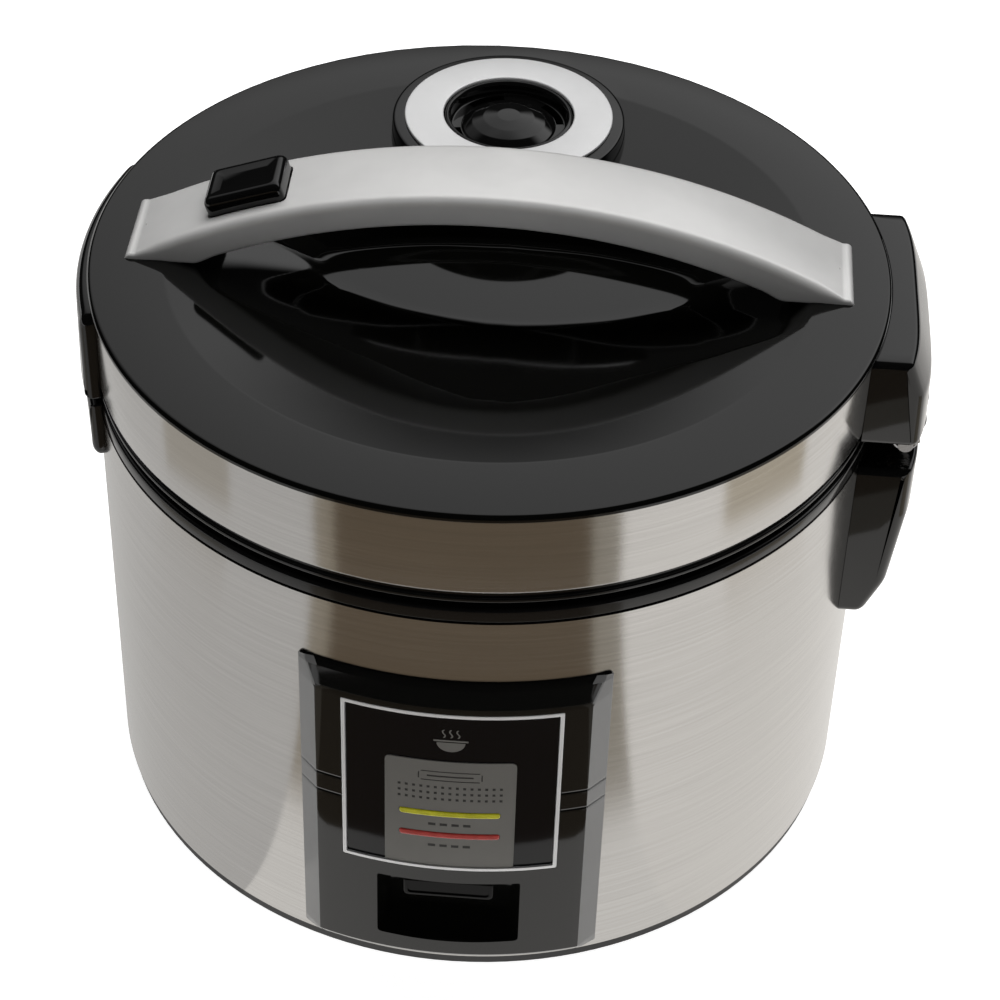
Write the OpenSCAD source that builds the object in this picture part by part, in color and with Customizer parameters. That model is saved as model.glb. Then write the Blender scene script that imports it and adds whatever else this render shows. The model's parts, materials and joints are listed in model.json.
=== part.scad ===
// Lidded rice cooker: steel drum body, hinged lid with a carry handle, lever switch at the front.
// Millimetres. +Z is up, the front faces -Y, the hinge is at +X, the latch at -X.
// The modules are drawn about the drum's axis. The whole is then moved so that the origin lies
// in the middle of its outline from latch to hinge, in the plane that the feet stand on.

/* [Body] */
// Outer radius of the steel drum
body_r = 132; // [108:1:160]
// Height of the steel shell
shell_h = 155; // [129:1:190]
// Thickness of the steel shell and of the lid band
sheet_t = 0.6; // [0.4:0.1:1]
// Height of the rubber feet
foot_h = 4; // [3:0.5:8]
// Radius of a rubber foot
foot_r = 11; // [7:1:14]
// Height of the visible base ring
base_ring_h = 4; // [3:0.5:8]

/* [Pot and heater] */
// Gap between the drum and the pot's wall
pot_gap = 23; // [20:1:32]
// Wall thickness of the pot
pot_t = 1.6; // [1:0.2:3]
// Height of the pot's floor above the base
pot_floor = 41; // [38:1:50]
// Radius of the heating plate
plate_r = 84; // [65:1:88]
// Thickness of the heating plate
plate_t = 12; // [9:1:14]

/* [Front panel] */
// Half angle that the panel spans on the drum
panel_half_deg = 22; // [20:0.5:27]
// How far the panel stands out of the drum
panel_proud = 5; // [4:0.5:8]
// Height of the panel
panel_h = 127; // [118:1:130]
// Half width of the lever's opening
recess_half = 24; // [20:1:28]
// Half width of the lever's paddle
paddle_half = 15; // [11:0.5:17]
// Degrees that the lever dips when it is pressed
lever_deg = 6; // [3:0.5:6.5]

/* [Lid] */
// Height of the lid's steel band
band_h = 28.8; // [24:0.2:40]
// Depth of the finger scoop below the lid's rim
scoop_depth = 19.8; // [15:0.2:20]
// Sideways shift of the finger scoop towards the hinge
scoop_shift = 5; // [0:1:8]
// Width of the lid's flat rim
rim_w = 25; // [22:1:30]
// Degrees that the lid opens
lid_deg = 90; // [45:5:90]

/* [Handle] */
// Width of the carry handle, front to back
handle_w = 33; // [27:1:38]
// Height of the handle's crown above the rim
handle_rise = 32.3; // [28:0.5:42]
// Thickness of the handle at its crown
handle_t = 11.3; // [9:0.1:14]
// Distance from the drum's edge to the handle's tip
handle_inset = 11.2; // [8:0.2:16]
// Travel of the release button
button_travel = 3; // [2:0.5:4]

/* [Steam vent] */
// Outer radius of the vent's silver ring
vent_ring_r = 36.7; // [30:0.1:38]
// Radius of the opening in the ring
vent_hole_r = 23; // [19:0.5:25]
// Distance from the vent's centre to the back edge of the drum
vent_inset = 50; // [46:1:56]
// How far the vent cap lifts
vent_lift = 12; // [6:1:16]

/* [Hinge and latch] */
// Distance of the hinge pin outside the drum
hinge_out = 8; // [8:0.5:12]
// Radius of the hinge knuckles
knuckle_r = 7.5; // [6:0.5:7.5]
// Radius of the hinge pin
pin_r = 2.5; // [2:0.5:3.5]
// Half length of the hinge cover
ear_half = 43; // [38:1:48]
// How far the latch cover stands out of the drum
latch_proud = 5; // [4:0.5:6]

/* [Hidden] */

$fn = 96;
eps = 0.01;
fit = 0.05;          // running clearance of a pin in its hole
gap = 0.4;           // clearance between parts that move past each other
FRONT = 270;         // direction of the front, in degrees about +Z
BACK = 90;

// heights
base_z = foot_h;
shell_z = base_z + base_ring_h;
shell_top = shell_z + shell_h;
collar_h = 5.8;
collar_top = shell_top + collar_h;
seam_gap = 2.5;
lid_z = collar_top + seam_gap;
skirt_h = 4.5;
band_z = lid_z + skirt_h;
band_top = band_z + band_h;
rim_h = 2.4;
rim_z = band_top + rim_h;

// base
tray_r = body_r - 0.9;
tray_t = 2.5;
boss_h = 4;
foot_ring_r = body_r - 30;
foot_angles = [45, 135, 225, 315];
floor_z = base_z + tray_t;

// pot and its seat
pot_r = body_r - pot_gap;
pot_floor_z = base_z + pot_floor;
seat_z = collar_top - 2.4;
pot_rim_t = 1.8;
pot_corner_r = 14;
pot_rim_r = pot_r + 8;
shield_r = pot_r + 6.4;
shield_t = 0.8;
shield_z = pot_floor_z - plate_t - 9;
plate_z = pot_floor_z - 0.1 - plate_t;
plate_hole_r = 17;
post_angles = [90, 210, 330];
post_ring_r = plate_r - 16;
post_r = 5.5;
screw_r = 1.9;
element_r = plate_r - 26;
element_tube = 3.6;

// thermostat, magnet and lever
cup_r = 13.8;
cup_travel = 3;
cup_top = pot_floor_z - 0.15;
guide_t = 1.2;
guide_z = shield_z - guide_t;
pivot_y = -(body_r - 57);
pivot_z = guide_z - 8.8;
pivot_r = 2;
arm_w = 12;
arm_t = 1.6;
rod_r = 2;
rod_flange_r = 5;
rod_lift = -pivot_y * lever_deg * PI / 180;
magnet_r = 9.5;
magnet_t = 4;
arm_z = guide_z - gap - 1.5 - 8.2 - 0.6 - arm_t;
paddle_z = shell_z + 34;
paddle_h = 8;

// front panel
panel_r = body_r + panel_proud;
panel_z = shell_z + 3.5;
panel_top = panel_z + panel_h;
recess_z = panel_z + 10;
recess_h = 29;
recess_back = 9;
window_half_deg = 15;
window_z = shell_z + 48.7;
window_h = 71.9;
card_half_deg = 8.9;
card_h = 48.5;
bar_half_deg = 6.9;
bar_h = 2.6;
warm_z = window_z + 26.3;
cook_z = window_z + 16.3;

// inlet at the back
inlet_z = shell_z + 20;
inlet_w = 32;
inlet_h = 24;
inlet_depth = 13;
pin_blades = [[-7, -2], [7, -2], [0, 3]];

// hinge
hinge_x = body_r + hinge_out;
hinge_z = collar_top - 0.8;
centre_half = 13;
side_len = 11;
ear_skin = 2.2;
bracket_h = 64;

// latch
latch_half_deg = 20;
hook_half = 9;
hook_x = -(body_r - 5.2);
hook_t = 2.4;
catch_z = seat_z - 5;
latch_travel = 2.5;
slider_z = band_z + 8;
latch_spring_r = 2.2;
latch_wire = 0.4;

// distance from the drum's axis to the middle of the outline, latch to hinge
middle_x = (hinge_x + knuckle_r - body_r - latch_proud) / 2;

// lid inside
liner_z = lid_z + 1.4;
inner_lid_z = collar_top + 0.5;
rim_r = body_r - rim_w + 0.8;
dish_slope = 0.14;
cover_t = 2.4;
scoop_floor_z = rim_z - scoop_depth;

// handle: two circular arcs, one for the top and one for the underside
handle_tip = body_r - handle_inset;
handle_root = handle_tip - 24.8;
top_arc_r = (handle_tip * handle_tip + handle_rise * handle_rise) / (2 * handle_rise);
under_rise = handle_rise - handle_t;
under_arc_r = (handle_root * handle_root + under_rise * under_rise) / (2 * under_rise);
handle_y = 1;
button_x = -(handle_tip - 41);
button_deg = asin(-button_x / top_arc_r);
button_z = rim_z + handle_rise - top_arc_r * (1 - cos(button_deg));
button_l = 27;
button_w = 20;
button_h = 5.5;
stem_x = button_x - 24;
stem_w = 5;
stem_half = 3;

// vent
vent_y = body_r - vent_inset;
vent_z = rim_z + 1.6;
vent_cup_r = vent_ring_r + 4.3;
cup_bottom_z = liner_z + 4;

// scoop outlines, as shares of the drum's radius, one half of each: the widest point first
scoop_edge = [[0.78, -0.10], [0.65, -0.225], [0.52, -0.385], [0.36, -0.525], [0.20, -0.64], [0.07, -0.695]];
scoop_back = [[0.07, 0.22], [0.50, 0.18], [0.76, 0.08]];
floor_edge = [[0.49, 0.08], [0.43, 0.03], [0.28, -0.045], [0.14, -0.085]];
floor_back = [[0.20, 0.15], [0.48, 0.13]];
function mirrored(half) = concat(half, [for (i = [len(half) - 1:-1:0]) [-half[i][0], half[i][1]]]);
function outline(front, back) = body_r * concat(mirrored(front), [for (p = back) [-p[0], p[1]]],
  [for (i = [len(back) - 1:-1:0]) back[i]]);
function grown(points, by) = [for (p = points) p * (1 + by / norm(p))];

module ring(r_out, r_in, z, h) {
  translate([0, 0, z]) difference() {
    cylinder(r = r_out, h = h);
    translate([0, 0, -1]) cylinder(r = r_in, h = h + 2);
  }
}

// part of a ring about the drum's axis, centred on a direction
module sector(r_out, r_in, z, h, half_deg, direction) {
  rotate([0, 0, direction - half_deg]) rotate_extrude(angle = 2 * half_deg)
    translate([r_in, z]) square([r_out - r_in, h]);
}

module around(angles, radius) {
  for (a = angles) rotate([0, 0, a]) translate([radius, 0, 0]) children();
}

module block(x, y, z) {
  translate([x[0], y[0], z[0]]) cube([x[1] - x[0], y[1] - y[0], z[1] - z[0]]);
}

// closed coil of round wire about +Z, ends flat on their last turn
module coil(radius, wire, height, turns) {
  sides = 8;
  per_turn = 20;
  steps = turns * per_turn;
  function centre(i) = [radius * cos(360 * i / per_turn), radius * sin(360 * i / per_turn),
    wire + (height - 2 * wire) * i / steps];
  points = [for (i = [0:steps]) for (k = [0:sides - 1])
    let (a = 360 * i / per_turn, b = 360 * k / sides)
    centre(i) + wire * [cos(b) * cos(a), cos(b) * sin(a), sin(b)]];
  sides_faces = [for (i = [0:steps - 1]) for (k = [0:sides - 1])
    [i * sides + k, (i + 1) * sides + k, (i + 1) * sides + (k + 1) % sides, i * sides + (k + 1) % sides]];
  polyhedron(points, concat(sides_faces, [[for (k = [0:sides - 1]) k]],
    [[for (k = [sides - 1:-1:0]) steps * sides + k]]), convexity = 10);
}

// round wire swept through a list of points, with a mitred ring at each
module wire_run(points, r) {
  sides = 8;
  last = len(points) - 1;
  function unit(v) = v / norm(v);
  function along(i) = unit(unit(points[min(i + 1, last)] - points[max(min(i, last - 1), 0)])
    + unit(points[max(i, 1)] - points[max(i - 1, 0)]));
  function across(i) = unit(cross(along(i), [0, 0, 1]));
  rings = [for (i = [0:last]) for (k = [0:sides - 1])
    points[i] + r * (cos(360 * k / sides) * across(i) + sin(360 * k / sides) * cross(across(i), along(i)))];
  walls = [for (i = [0:last - 1]) for (k = [0:sides - 1])
    let (a = i * sides + k, b = i * sides + (k + 1) % sides)
      for (t = [[a, b, b + sides], [a, b + sides, a + sides]]) t];
  polyhedron(rings, concat(walls, [[for (k = [sides - 1:-1:0]) k]],
    [[for (k = [0:sides - 1]) last * sides + k]]),
    convexity = 10);
}

// ---------- body ----------

module outer_shell() {
  color("silver") difference() {
    ring(body_r, body_r - sheet_t, shell_z, shell_h);
    block([-recess_half - 6, recess_half + 6], [-body_r - 1, 0], [recess_z - 3, recess_z + recess_h + 3]);
    sector(body_r + 1, body_r - 8, window_z + 2, window_h - 4, window_half_deg - 2, FRONT);
    block([-inlet_w / 2, inlet_w / 2], [body_r / 2, body_r + 1], [inlet_z, inlet_z + inlet_h]);
  }
}

module base_tray() {
  color("dimgray") difference() {
    union() {
      ring(tray_r, tray_r - 3, base_z, base_ring_h);
      ring(body_r - sheet_t - 0.2, body_r - 3.4, base_z, base_ring_h + 8);
      translate([0, 0, base_z]) cylinder(r = tray_r - 2, h = tray_t);
      around(foot_angles, foot_ring_r) translate([0, 0, floor_z - eps])
        cylinder(r = foot_r - 3, h = boss_h);
    }
    around(foot_angles, foot_ring_r) translate([0, 0, base_z - 1]) cylinder(r = 3.1, h = 20);
    around(post_angles, post_ring_r) translate([0, 0, base_z - 1]) cylinder(r = screw_r + 0.2, h = 8);
    // rows of cooling slots
    for (a = [0:60:300], i = [0:4]) rotate([0, 0, a])
      block([22 + 7 * i, 25.5 + 7 * i], [-5 - 1.4 * i, 5 + 1.4 * i], [base_z - 1, floor_z + 1]);
  }
}

module rubber_feet() {
  color([0.12, 0.12, 0.12]) around(foot_angles, foot_ring_r) {
    cylinder(r1 = foot_r - 1, r2 = foot_r, h = foot_h);
    // stem and barb that snap through the tray's boss
    translate([0, 0, foot_h - eps]) cylinder(r = 3, h = tray_t + boss_h + 1);
    translate([0, 0, floor_z + boss_h + 1.6]) sphere(r = 3.4, $fn = 32);
  }
}

module base_screws() {
  color("gainsboro") around(post_angles, post_ring_r) difference() {
    union() {
      translate([0, 0, base_z - 1.8]) cylinder(r = 3.6, h = 1.8);
      translate([0, 0, base_z - eps]) cylinder(r = screw_r, h = 12);
    }
    for (a = [0, 90]) rotate([0, 0, a]) block([-2.4, 2.4], [-0.4, 0.4], [base_z - 2, base_z - 0.8]);
  }
}

module support_posts() {
  color("gray") around(post_angles, post_ring_r) difference() {
    translate([0, 0, floor_z]) cylinder(r = post_r, h = shield_z - floor_z);
    translate([0, 0, floor_z - 1]) cylinder(r = screw_r + fit, h = 12);
    translate([0, 0, shield_z - 3.2]) cylinder(r = 2.1 + fit, h = 4);
  }
}

module upper_collar() {
  color([0.13, 0.13, 0.14]) difference() {
    rotate_extrude() polygon([
      [shield_r - 3.2, seat_z], [shield_r - 3.2, seat_z - 16], [shield_r - 1.2, seat_z - 16],
      [shield_r - 1.2, seat_z - 3], [body_r - sheet_t - 2.4, seat_z - 3],
      [body_r - sheet_t - 2.4, shell_top - 8], [body_r - sheet_t - 0.2, shell_top - 8],
      [body_r - sheet_t - 0.2, shell_top], [body_r, shell_top], [body_r, collar_top - 1],
      [body_r - 1, collar_top], [pot_rim_r + 2.4, collar_top], [pot_rim_r + 1.4, seat_z]]);
    // slot that the latch hook drops into
    block([hook_x - 6, hook_x + 6.5], [-hook_half - 1.5, hook_half + 1.5], [seat_z - 18, collar_top + 1]);
  }
}

module heat_shield() {
  color("lightsteelblue") difference() {
    union() {
      ring(shield_r + shield_t, shield_r, shield_z, seat_z - 4 - shield_z);
      translate([0, 0, shield_z]) cylinder(r = shield_r + shield_t / 2, h = 1);
    }
    translate([0, 0, shield_z - 1]) cylinder(r = 21, h = 3);
    around(post_angles, post_ring_r) translate([0, 0, shield_z - 1]) cylinder(r = 2.2, h = 3);
    block([hook_x - 2, hook_x + 12.5], [-hook_half - 2, hook_half + 2], [seat_z - 19, collar_top]);
  }
}

module heating_plate() {
  groove = element_tube + 0.2;
  color("lightgray") difference() {
    // turned plate with a bevelled edge, a bore for the thermostat and a groove for the element
    rotate_extrude() polygon(concat(
      [[plate_hole_r, plate_z], [plate_hole_r, plate_z + plate_t], [plate_r - 4, plate_z + plate_t],
        [plate_r, plate_z + plate_t - 2], [plate_r, plate_z]],
      [for (a = [0:20:180]) [element_r + groove * cos(a), plate_z + groove * sin(a)]]));
    // the plate's spacers are let into its underside
    around(post_angles, post_ring_r) translate([0, 0, plate_z - 1]) cylinder(r = 2.2, h = 5);
  }
}

module heating_element() {
  color("dimgray") {
    translate([0, 0, plate_z]) rotate([0, 0, 8]) rotate_extrude(angle = 344)
      translate([element_r, 0]) circle(r = element_tube, $fn = 32);
    for (a = [8, -8]) rotate([0, 0, a]) translate([element_r, 0, plate_z - 7.6])
      cylinder(r = 2, h = 8, $fn = 32);
  }
}

module plate_spacers() {
  color("gainsboro") around(post_angles, post_ring_r) {
    translate([0, 0, shield_z + 1]) cylinder(r = 4, h = plate_z - shield_z - 1);
    translate([0, 0, plate_z - eps]) cylinder(r = 2.1, h = 3.8);
    translate([0, 0, shield_z - 3]) cylinder(r = 2.1, h = 4 + eps);
  }
}

module warming_band() {
  color("tan") difference() {
    ring(shield_r + shield_t + 1.3, shield_r + shield_t + 0.1, shell_z + shell_h * 0.5, 20);
    block([shield_r - 5, body_r], [-4, 4], [shell_z, shell_top]);
  }
}

// ---------- thermostat and lever ----------

module thermostat_cup() {
  color("silver") difference() {
    union() {
      translate([0, 0, cup_top - 15]) cylinder(r = cup_r, h = 14);
      translate([0, 0, cup_top - 1 - eps]) cylinder(r1 = cup_r, r2 = cup_r - 1, h = 1 + eps);
      translate([0, 0, plate_z + 3.5]) cylinder(r = plate_hole_r - gap, h = 1);
    }
    translate([0, 0, cup_top - 16]) cylinder(r = cup_r - 1, h = 11);
  }
}

module thermostat_spring() {
  color("gainsboro") translate([0, 0, shield_z + 0.2])
    coil(cup_r + 1.3, 0.6, plate_z + 3.3 - shield_z, 4);
}

module guide_plate() {
  color("lightgray") difference() {
    translate([0, 0, guide_z]) cylinder(r = 30, h = guide_t);
    translate([0, 0, guide_z - 1]) cylinder(r = rod_r + fit, h = guide_t + 2);
  }
}

module magnet_rod() {
  color("gray") {
    translate([0, 0, shield_z + 0.3]) cylinder(r = magnet_r, h = magnet_t);
    translate([0, 0, arm_z - 2]) cylinder(r = rod_r, h = shield_z + 1 - arm_z + 2);
    translate([0, 0, arm_z + arm_t + 0.6]) cylinder(r = rod_flange_r, h = 1.5);
  }
}

module lever_bracket() {
  color("lightgray") difference() {
    union() {
      for (s = [-1, 1]) translate([s * (arm_w / 2 + 2), pivot_y, 0])
        block([-1, 1], [-8, 8], [pivot_z - 5, shield_z]);
      block([-arm_w / 2 - 9, arm_w / 2 + 9], [pivot_y - 8, pivot_y + 8], [shield_z - 1.2, shield_z]);
    }
    translate([-20, pivot_y, pivot_z]) rotate([0, 90, 0]) cylinder(r = pivot_r + fit, h = 40);
  }
}

module lever_pivot_pin() {
  color("gainsboro") translate([-arm_w / 2 - 5, pivot_y, pivot_z]) rotate([0, 90, 0]) {
    cylinder(r = pivot_r, h = arm_w + 10);
    translate([0, 0, -1.2]) cylinder(r = pivot_r + 1.2, h = 1.2 + eps);
  }
}

module lever_arm() {
  front_y = -(body_r - 14);
  color("silver") difference() {
    union() {
      translate([-arm_w / 2, pivot_y, pivot_z]) rotate([0, 90, 0]) cylinder(r = 4.2, h = arm_w);
      block([-arm_w / 2, arm_w / 2], [pivot_y, rod_flange_r + 2], [arm_z, arm_z + arm_t]);
      block([-arm_w / 2, arm_w / 2], [pivot_y - arm_t, pivot_y + arm_t], [arm_z, pivot_z]);
      block([-arm_w / 2, arm_w / 2], [front_y, pivot_y], [pivot_z, pivot_z + arm_t]);
      block([-arm_w / 2, arm_w / 2], [front_y, front_y + arm_t], [pivot_z, paddle_z + 4 + arm_t]);
      block([-arm_w / 2, arm_w / 2], [front_y - 4.8, front_y + arm_t],
        [paddle_z + 4, paddle_z + 4 + arm_t]);
    }
    translate([-20, pivot_y, pivot_z]) rotate([0, 90, 0]) cylinder(r = pivot_r + fit, h = 40);
    // fork that straddles the magnet's rod
    block([-rod_r - 0.5, rod_r + 0.5], [-rod_r - 1, 20], [arm_z - 1, arm_z + arm_t + 1]);
  }
}

module cook_lever() {
  back_y = -(body_r - recess_back + gap);
  front_y = -(body_r + panel_proud - 1);
  color([0.1, 0.1, 0.11]) difference() {
    union() {
      block([-paddle_half, paddle_half], [front_y, back_y], [paddle_z, paddle_z + 2.4]);
      block([-paddle_half, paddle_half], [front_y, front_y + 2.6], [paddle_z, paddle_z + paddle_h]);
      block([-arm_w / 2 - 1.5, arm_w / 2 + 1.5], [back_y - 3, back_y + 4.4],
        [paddle_z + 2, paddle_z + paddle_h - 0.4]);
    }
    block([-arm_w / 2 - fit, arm_w / 2 + fit], [back_y + 0.4, back_y + 6],
      [paddle_z + 4 - fit, paddle_z + 4 + arm_t + fit]);
  }
}

module micro_switch() {
  color([0.25, 0.25, 0.28]) {
    block([arm_w / 2 + 5, arm_w / 2 + 15], [-50, -30], [floor_z, floor_z + 10]);
    block([arm_w / 2 + 8, arm_w / 2 + 12], [-46, -42], [floor_z + 10 - eps, floor_z + 12]);
  }
}

module thermal_fuse() {
  color("tan") translate([-36, -10, shield_z + 3.4]) rotate([0, 90, 90])
    cylinder(r = 2.2, h = 20, $fn = 32);
}

// ---------- front panel ----------

module control_panel() {
  color([0.07, 0.07, 0.08]) difference() {
    union() {
      // stepped bevel round the housing, then its face
      sector(body_r + panel_proud * 0.4, body_r + fit, panel_z, panel_h, panel_half_deg, FRONT);
      sector(body_r + panel_proud * 0.7, body_r + fit, panel_z + 2, panel_h - 5, panel_half_deg - 1, FRONT);
      sector(panel_r, body_r + fit, panel_z + 3, panel_h - 8.5, panel_half_deg - 2, FRONT);
      // walls of the lever's opening, reaching in through the drum
      block([-recess_half - 2, recess_half + 2], [-body_r - 0.4, -body_r + recess_back + 2],
        [recess_z - 2, recess_z + recess_h + 2]);
    }
    block([-recess_half, recess_half], [-body_r - 20, -body_r + recess_back],
      [recess_z, recess_z + recess_h]);
    // way through the back wall for the lever's arm
    block([-arm_w / 2 - 2.5, arm_w / 2 + 2.5], [-body_r, -body_r + 30],
      [paddle_z - 8, recess_z + recess_h]);
    // seat of the face plate, and the room behind it for the lamps
    sector(panel_r + 1, panel_r - 1.6, window_z, window_h, window_half_deg, FRONT);
    sector(panel_r, body_r - 1, window_z + 4, window_h - 8, window_half_deg - 3, FRONT);
  }
}

module panel_face() {
  color([0.08, 0.09, 0.16]) difference() {
    sector(panel_r - 0.7, panel_r - 1.5, window_z + fit, window_h - 2 * fit, window_half_deg - 0.05, FRONT);
    for (z = [warm_z, cook_z])
      sector(panel_r + 1, panel_r - 3, z - bar_h / 2 - fit, bar_h + 2 * fit, bar_half_deg + 0.05, FRONT);
  }
}

module panel_frame() {
  color("gainsboro") difference() {
    sector(panel_r + 0.1, panel_r - 0.65, window_z + fit, window_h - 2 * fit,
      window_half_deg - 0.05, FRONT);
    sector(panel_r + 1, panel_r - 2, window_z + 1, window_h - 2, window_half_deg - 0.45, FRONT);
  }
}

module panel_card() {
  color("silver") difference() {
    sector(panel_r - 0.3, panel_r - 0.65, window_z + 2, card_h, card_half_deg, FRONT);
    for (z = [warm_z, cook_z])
      sector(panel_r + 1, panel_r - 3, z - bar_h / 2 - fit, bar_h + 2 * fit, bar_half_deg + 0.05, FRONT);
  }
}

module lens(z) {
  sector(panel_r, panel_r - 1.7, z - bar_h / 2, bar_h, bar_half_deg, FRONT);
  sector(panel_r - 1.6 + eps, panel_r - 3, z - bar_h / 2 - 0.6, bar_h + 1.2, bar_half_deg + 0.6, FRONT);
}

module warm_lens() {
  color("yellow") lens(warm_z);
}

module cook_lens() {
  color("red") lens(cook_z);
}

module lamp_board() {
  color("darkgreen") block([-20, 20], [-body_r + 4.8, -body_r + 6.4], [window_z + 8, window_z + 44]);
}

module indicator_lamps() {
  color("orange") for (z = [warm_z, cook_z], s = [-1, 1])
    translate([s * 8, -body_r + 4.8, z]) rotate([90, 0, 0]) {
      cylinder(r = 2.2, h = 2.6, $fn = 24);
      translate([0, 0, 2.6]) sphere(r = 2.2, $fn = 24);
    }
}

// ---------- mains inlet and wiring ----------

module power_inlet() {
  color([0.1, 0.1, 0.1]) difference() {
    union() {
      block([-inlet_w / 2 + 0.2, inlet_w / 2 - 0.2], [body_r - inlet_depth - 2, body_r + 1],
        [inlet_z + 0.2, inlet_z + inlet_h - 0.2]);
      sector(body_r + 2.4, body_r + fit, inlet_z - 3, inlet_h + 6, 11.5, BACK);
    }
    block([-inlet_w / 2 + 3, inlet_w / 2 - 3], [body_r - inlet_depth, body_r + 20],
      [inlet_z + 3, inlet_z + inlet_h - 3]);
    inlet_blades(fit);
  }
}

module inlet_blades(grow) {
  for (p = pin_blades)
    block([p[0] - 1 - grow, p[0] + 1 + grow], [body_r - inlet_depth - 2.4, body_r - 5],
      [inlet_z + inlet_h / 2 + p[1] - 2 - grow, inlet_z + inlet_h / 2 + p[1] + 2 + grow]);
}

module inlet_pins() {
  color("gold") inlet_blades(0);
}

module inlet_screws() {
  color("gainsboro") for (s = [-1, 1]) rotate([0, 0, s * 9.6])
    translate([0, body_r + 2.4, inlet_z + inlet_h / 2]) rotate([-90, 0, 0]) difference() {
      cylinder(r = 2.6, h = 1.4, $fn = 32);
      block([-1.8, 1.8], [-0.3, 0.3], [0.9, 2]);
    }
}

module terminal_block() {
  color("ivory") block([24, 46], [-12, 12], [floor_z, floor_z + 10]);
}

module wiring() {
  low = floor_z + 5;
  color("brown") {
    for (s = [-1, 1]) wire_run([[s * 7, body_r - 8, inlet_z - 0.6],
      [s * 7, body_r - 12, inlet_z - 8], [s * 7, body_r - 34, low], [35 + s * 4, 30, low],
        [35 + s * 4, 12.2, low]], 1.2);
    wire_run([[30, -12.2, low], [28, -34, low + 1], [arm_w / 2 + 16.2, -40, low]], 1.2);
    wire_run([[40, -12.2, low], [46, -(body_r - 60), low], [34, -(body_r - 16), low + 6],
      [33, -(body_r - 11), window_z - 12], [16, -(body_r - 8), window_z + 12]], 1.2);
  }
}

// ---------- hinge and latch on the body ----------

// outside shape of both hinge covers, from the drum outwards, cut by two radial sides
module ear_prism(profile, half) {
  rotate([90, 0, 0]) translate([0, 0, -half]) linear_extrude(height = 2 * half) polygon(profile);
}

module hinge_bracket() {
  top = hinge_z - 8;
  low = top - bracket_h;
  skin = hinge_x + knuckle_r - 1.2;
  color([0.08, 0.08, 0.09]) difference() {
    union() {
      difference() {
        ear_prism([[body_r - 12, low], [skin - 11, low], [skin - 4, low + 14], [skin, top - 20],
          [skin, top],
          [body_r - 12, top]], ear_half - 1);
        // hollow inside the cover
        ear_prism([[body_r - 13, low + 3], [skin - 13, low + 3], [skin - 2 - ear_skin, low + 14],
          [skin - ear_skin, top - 20], [skin - ear_skin, top - 3], [body_r - 13, top - 3]],
            ear_half - 1 - ear_skin);
      }
      translate([hinge_x, centre_half, hinge_z]) rotate([90, 0, 0])
        cylinder(r = knuckle_r, h = 2 * centre_half);
      block([hinge_x - knuckle_r, hinge_x + 1.5], [-centre_half, centre_half], [top - 1, hinge_z]);
    }
    translate([0, 0, low - 1]) cylinder(r = body_r + fit, h = shell_top - low + 1);
    translate([0, 0, shell_top - eps]) cylinder(r = body_r + 0.2, h = 30);
    translate([hinge_x, 60, hinge_z]) rotate([90, 0, 0]) cylinder(r = pin_r, h = 120);
  }
}

module hinge_pin() {
  color("gainsboro") translate([hinge_x, ear_half - 5, hinge_z]) rotate([90, 0, 0])
    cylinder(r = pin_r, h = 2 * ear_half - 10);
}

module hinge_springs() {
  color("gainsboro") for (s = [0, 1]) mirror([0, s, 0])
    translate([hinge_x, ear_half - 7, hinge_z]) rotate([90, 0, 0]) coil(pin_r + 1.6, 0.8, 10, 5);
}

// curved cover on the drum's latch side, with its outline given as [how far out, height] points
module latch_shield(profile) {
  rotate([0, 0, 180 - latch_half_deg]) rotate_extrude(angle = 2 * latch_half_deg)
    polygon([for (p = profile) [body_r + p[0], p[1]]]);
}

module latch_keeper() {
  low = shell_top - 17;
  color([0.08, 0.08, 0.09]) latch_shield([[fit, low], [latch_proud - 2.6, low], [latch_proud - 1, low + 3],
    [latch_proud - 1, collar_top], [fit, collar_top]]);
}

// ---------- pot ----------

// quarter round at the pot's corner, from its floor up to its wall
function pot_corner(r) = [for (a = [-90:10:0])
  [pot_r - pot_corner_r + r * cos(a), pot_floor_z + pot_corner_r + r * sin(a)]];

module inner_pot() {
  inside = pot_corner(pot_corner_r - pot_t);
  color("lightgray") rotate_extrude() polygon(concat(
    [[0, pot_floor_z]], pot_corner(pot_corner_r),
    [[pot_r, seat_z + 0.1], [pot_rim_r, seat_z + 0.1], [pot_rim_r, seat_z + 0.1 + pot_rim_t],
      [pot_r - pot_t, seat_z + 0.1 + pot_rim_t]],
    [for (i = [len(inside) - 1:-1:0]) inside[i]], [[0, pot_floor_z + pot_t]]));
}

// ---------- lid ----------

module scoop_shape(grow, drop) {
  translate([scoop_shift, 0, 0]) hull() {
    translate([0, 0, rim_z + 0.2 - drop]) linear_extrude(height = 1)
      polygon(grown(outline(scoop_edge, scoop_back), grow));
    translate([0, 0, scoop_floor_z - drop]) linear_extrude(height = 1)
      polygon(grown(outline(floor_edge, floor_back), grow));
  }
}

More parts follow.
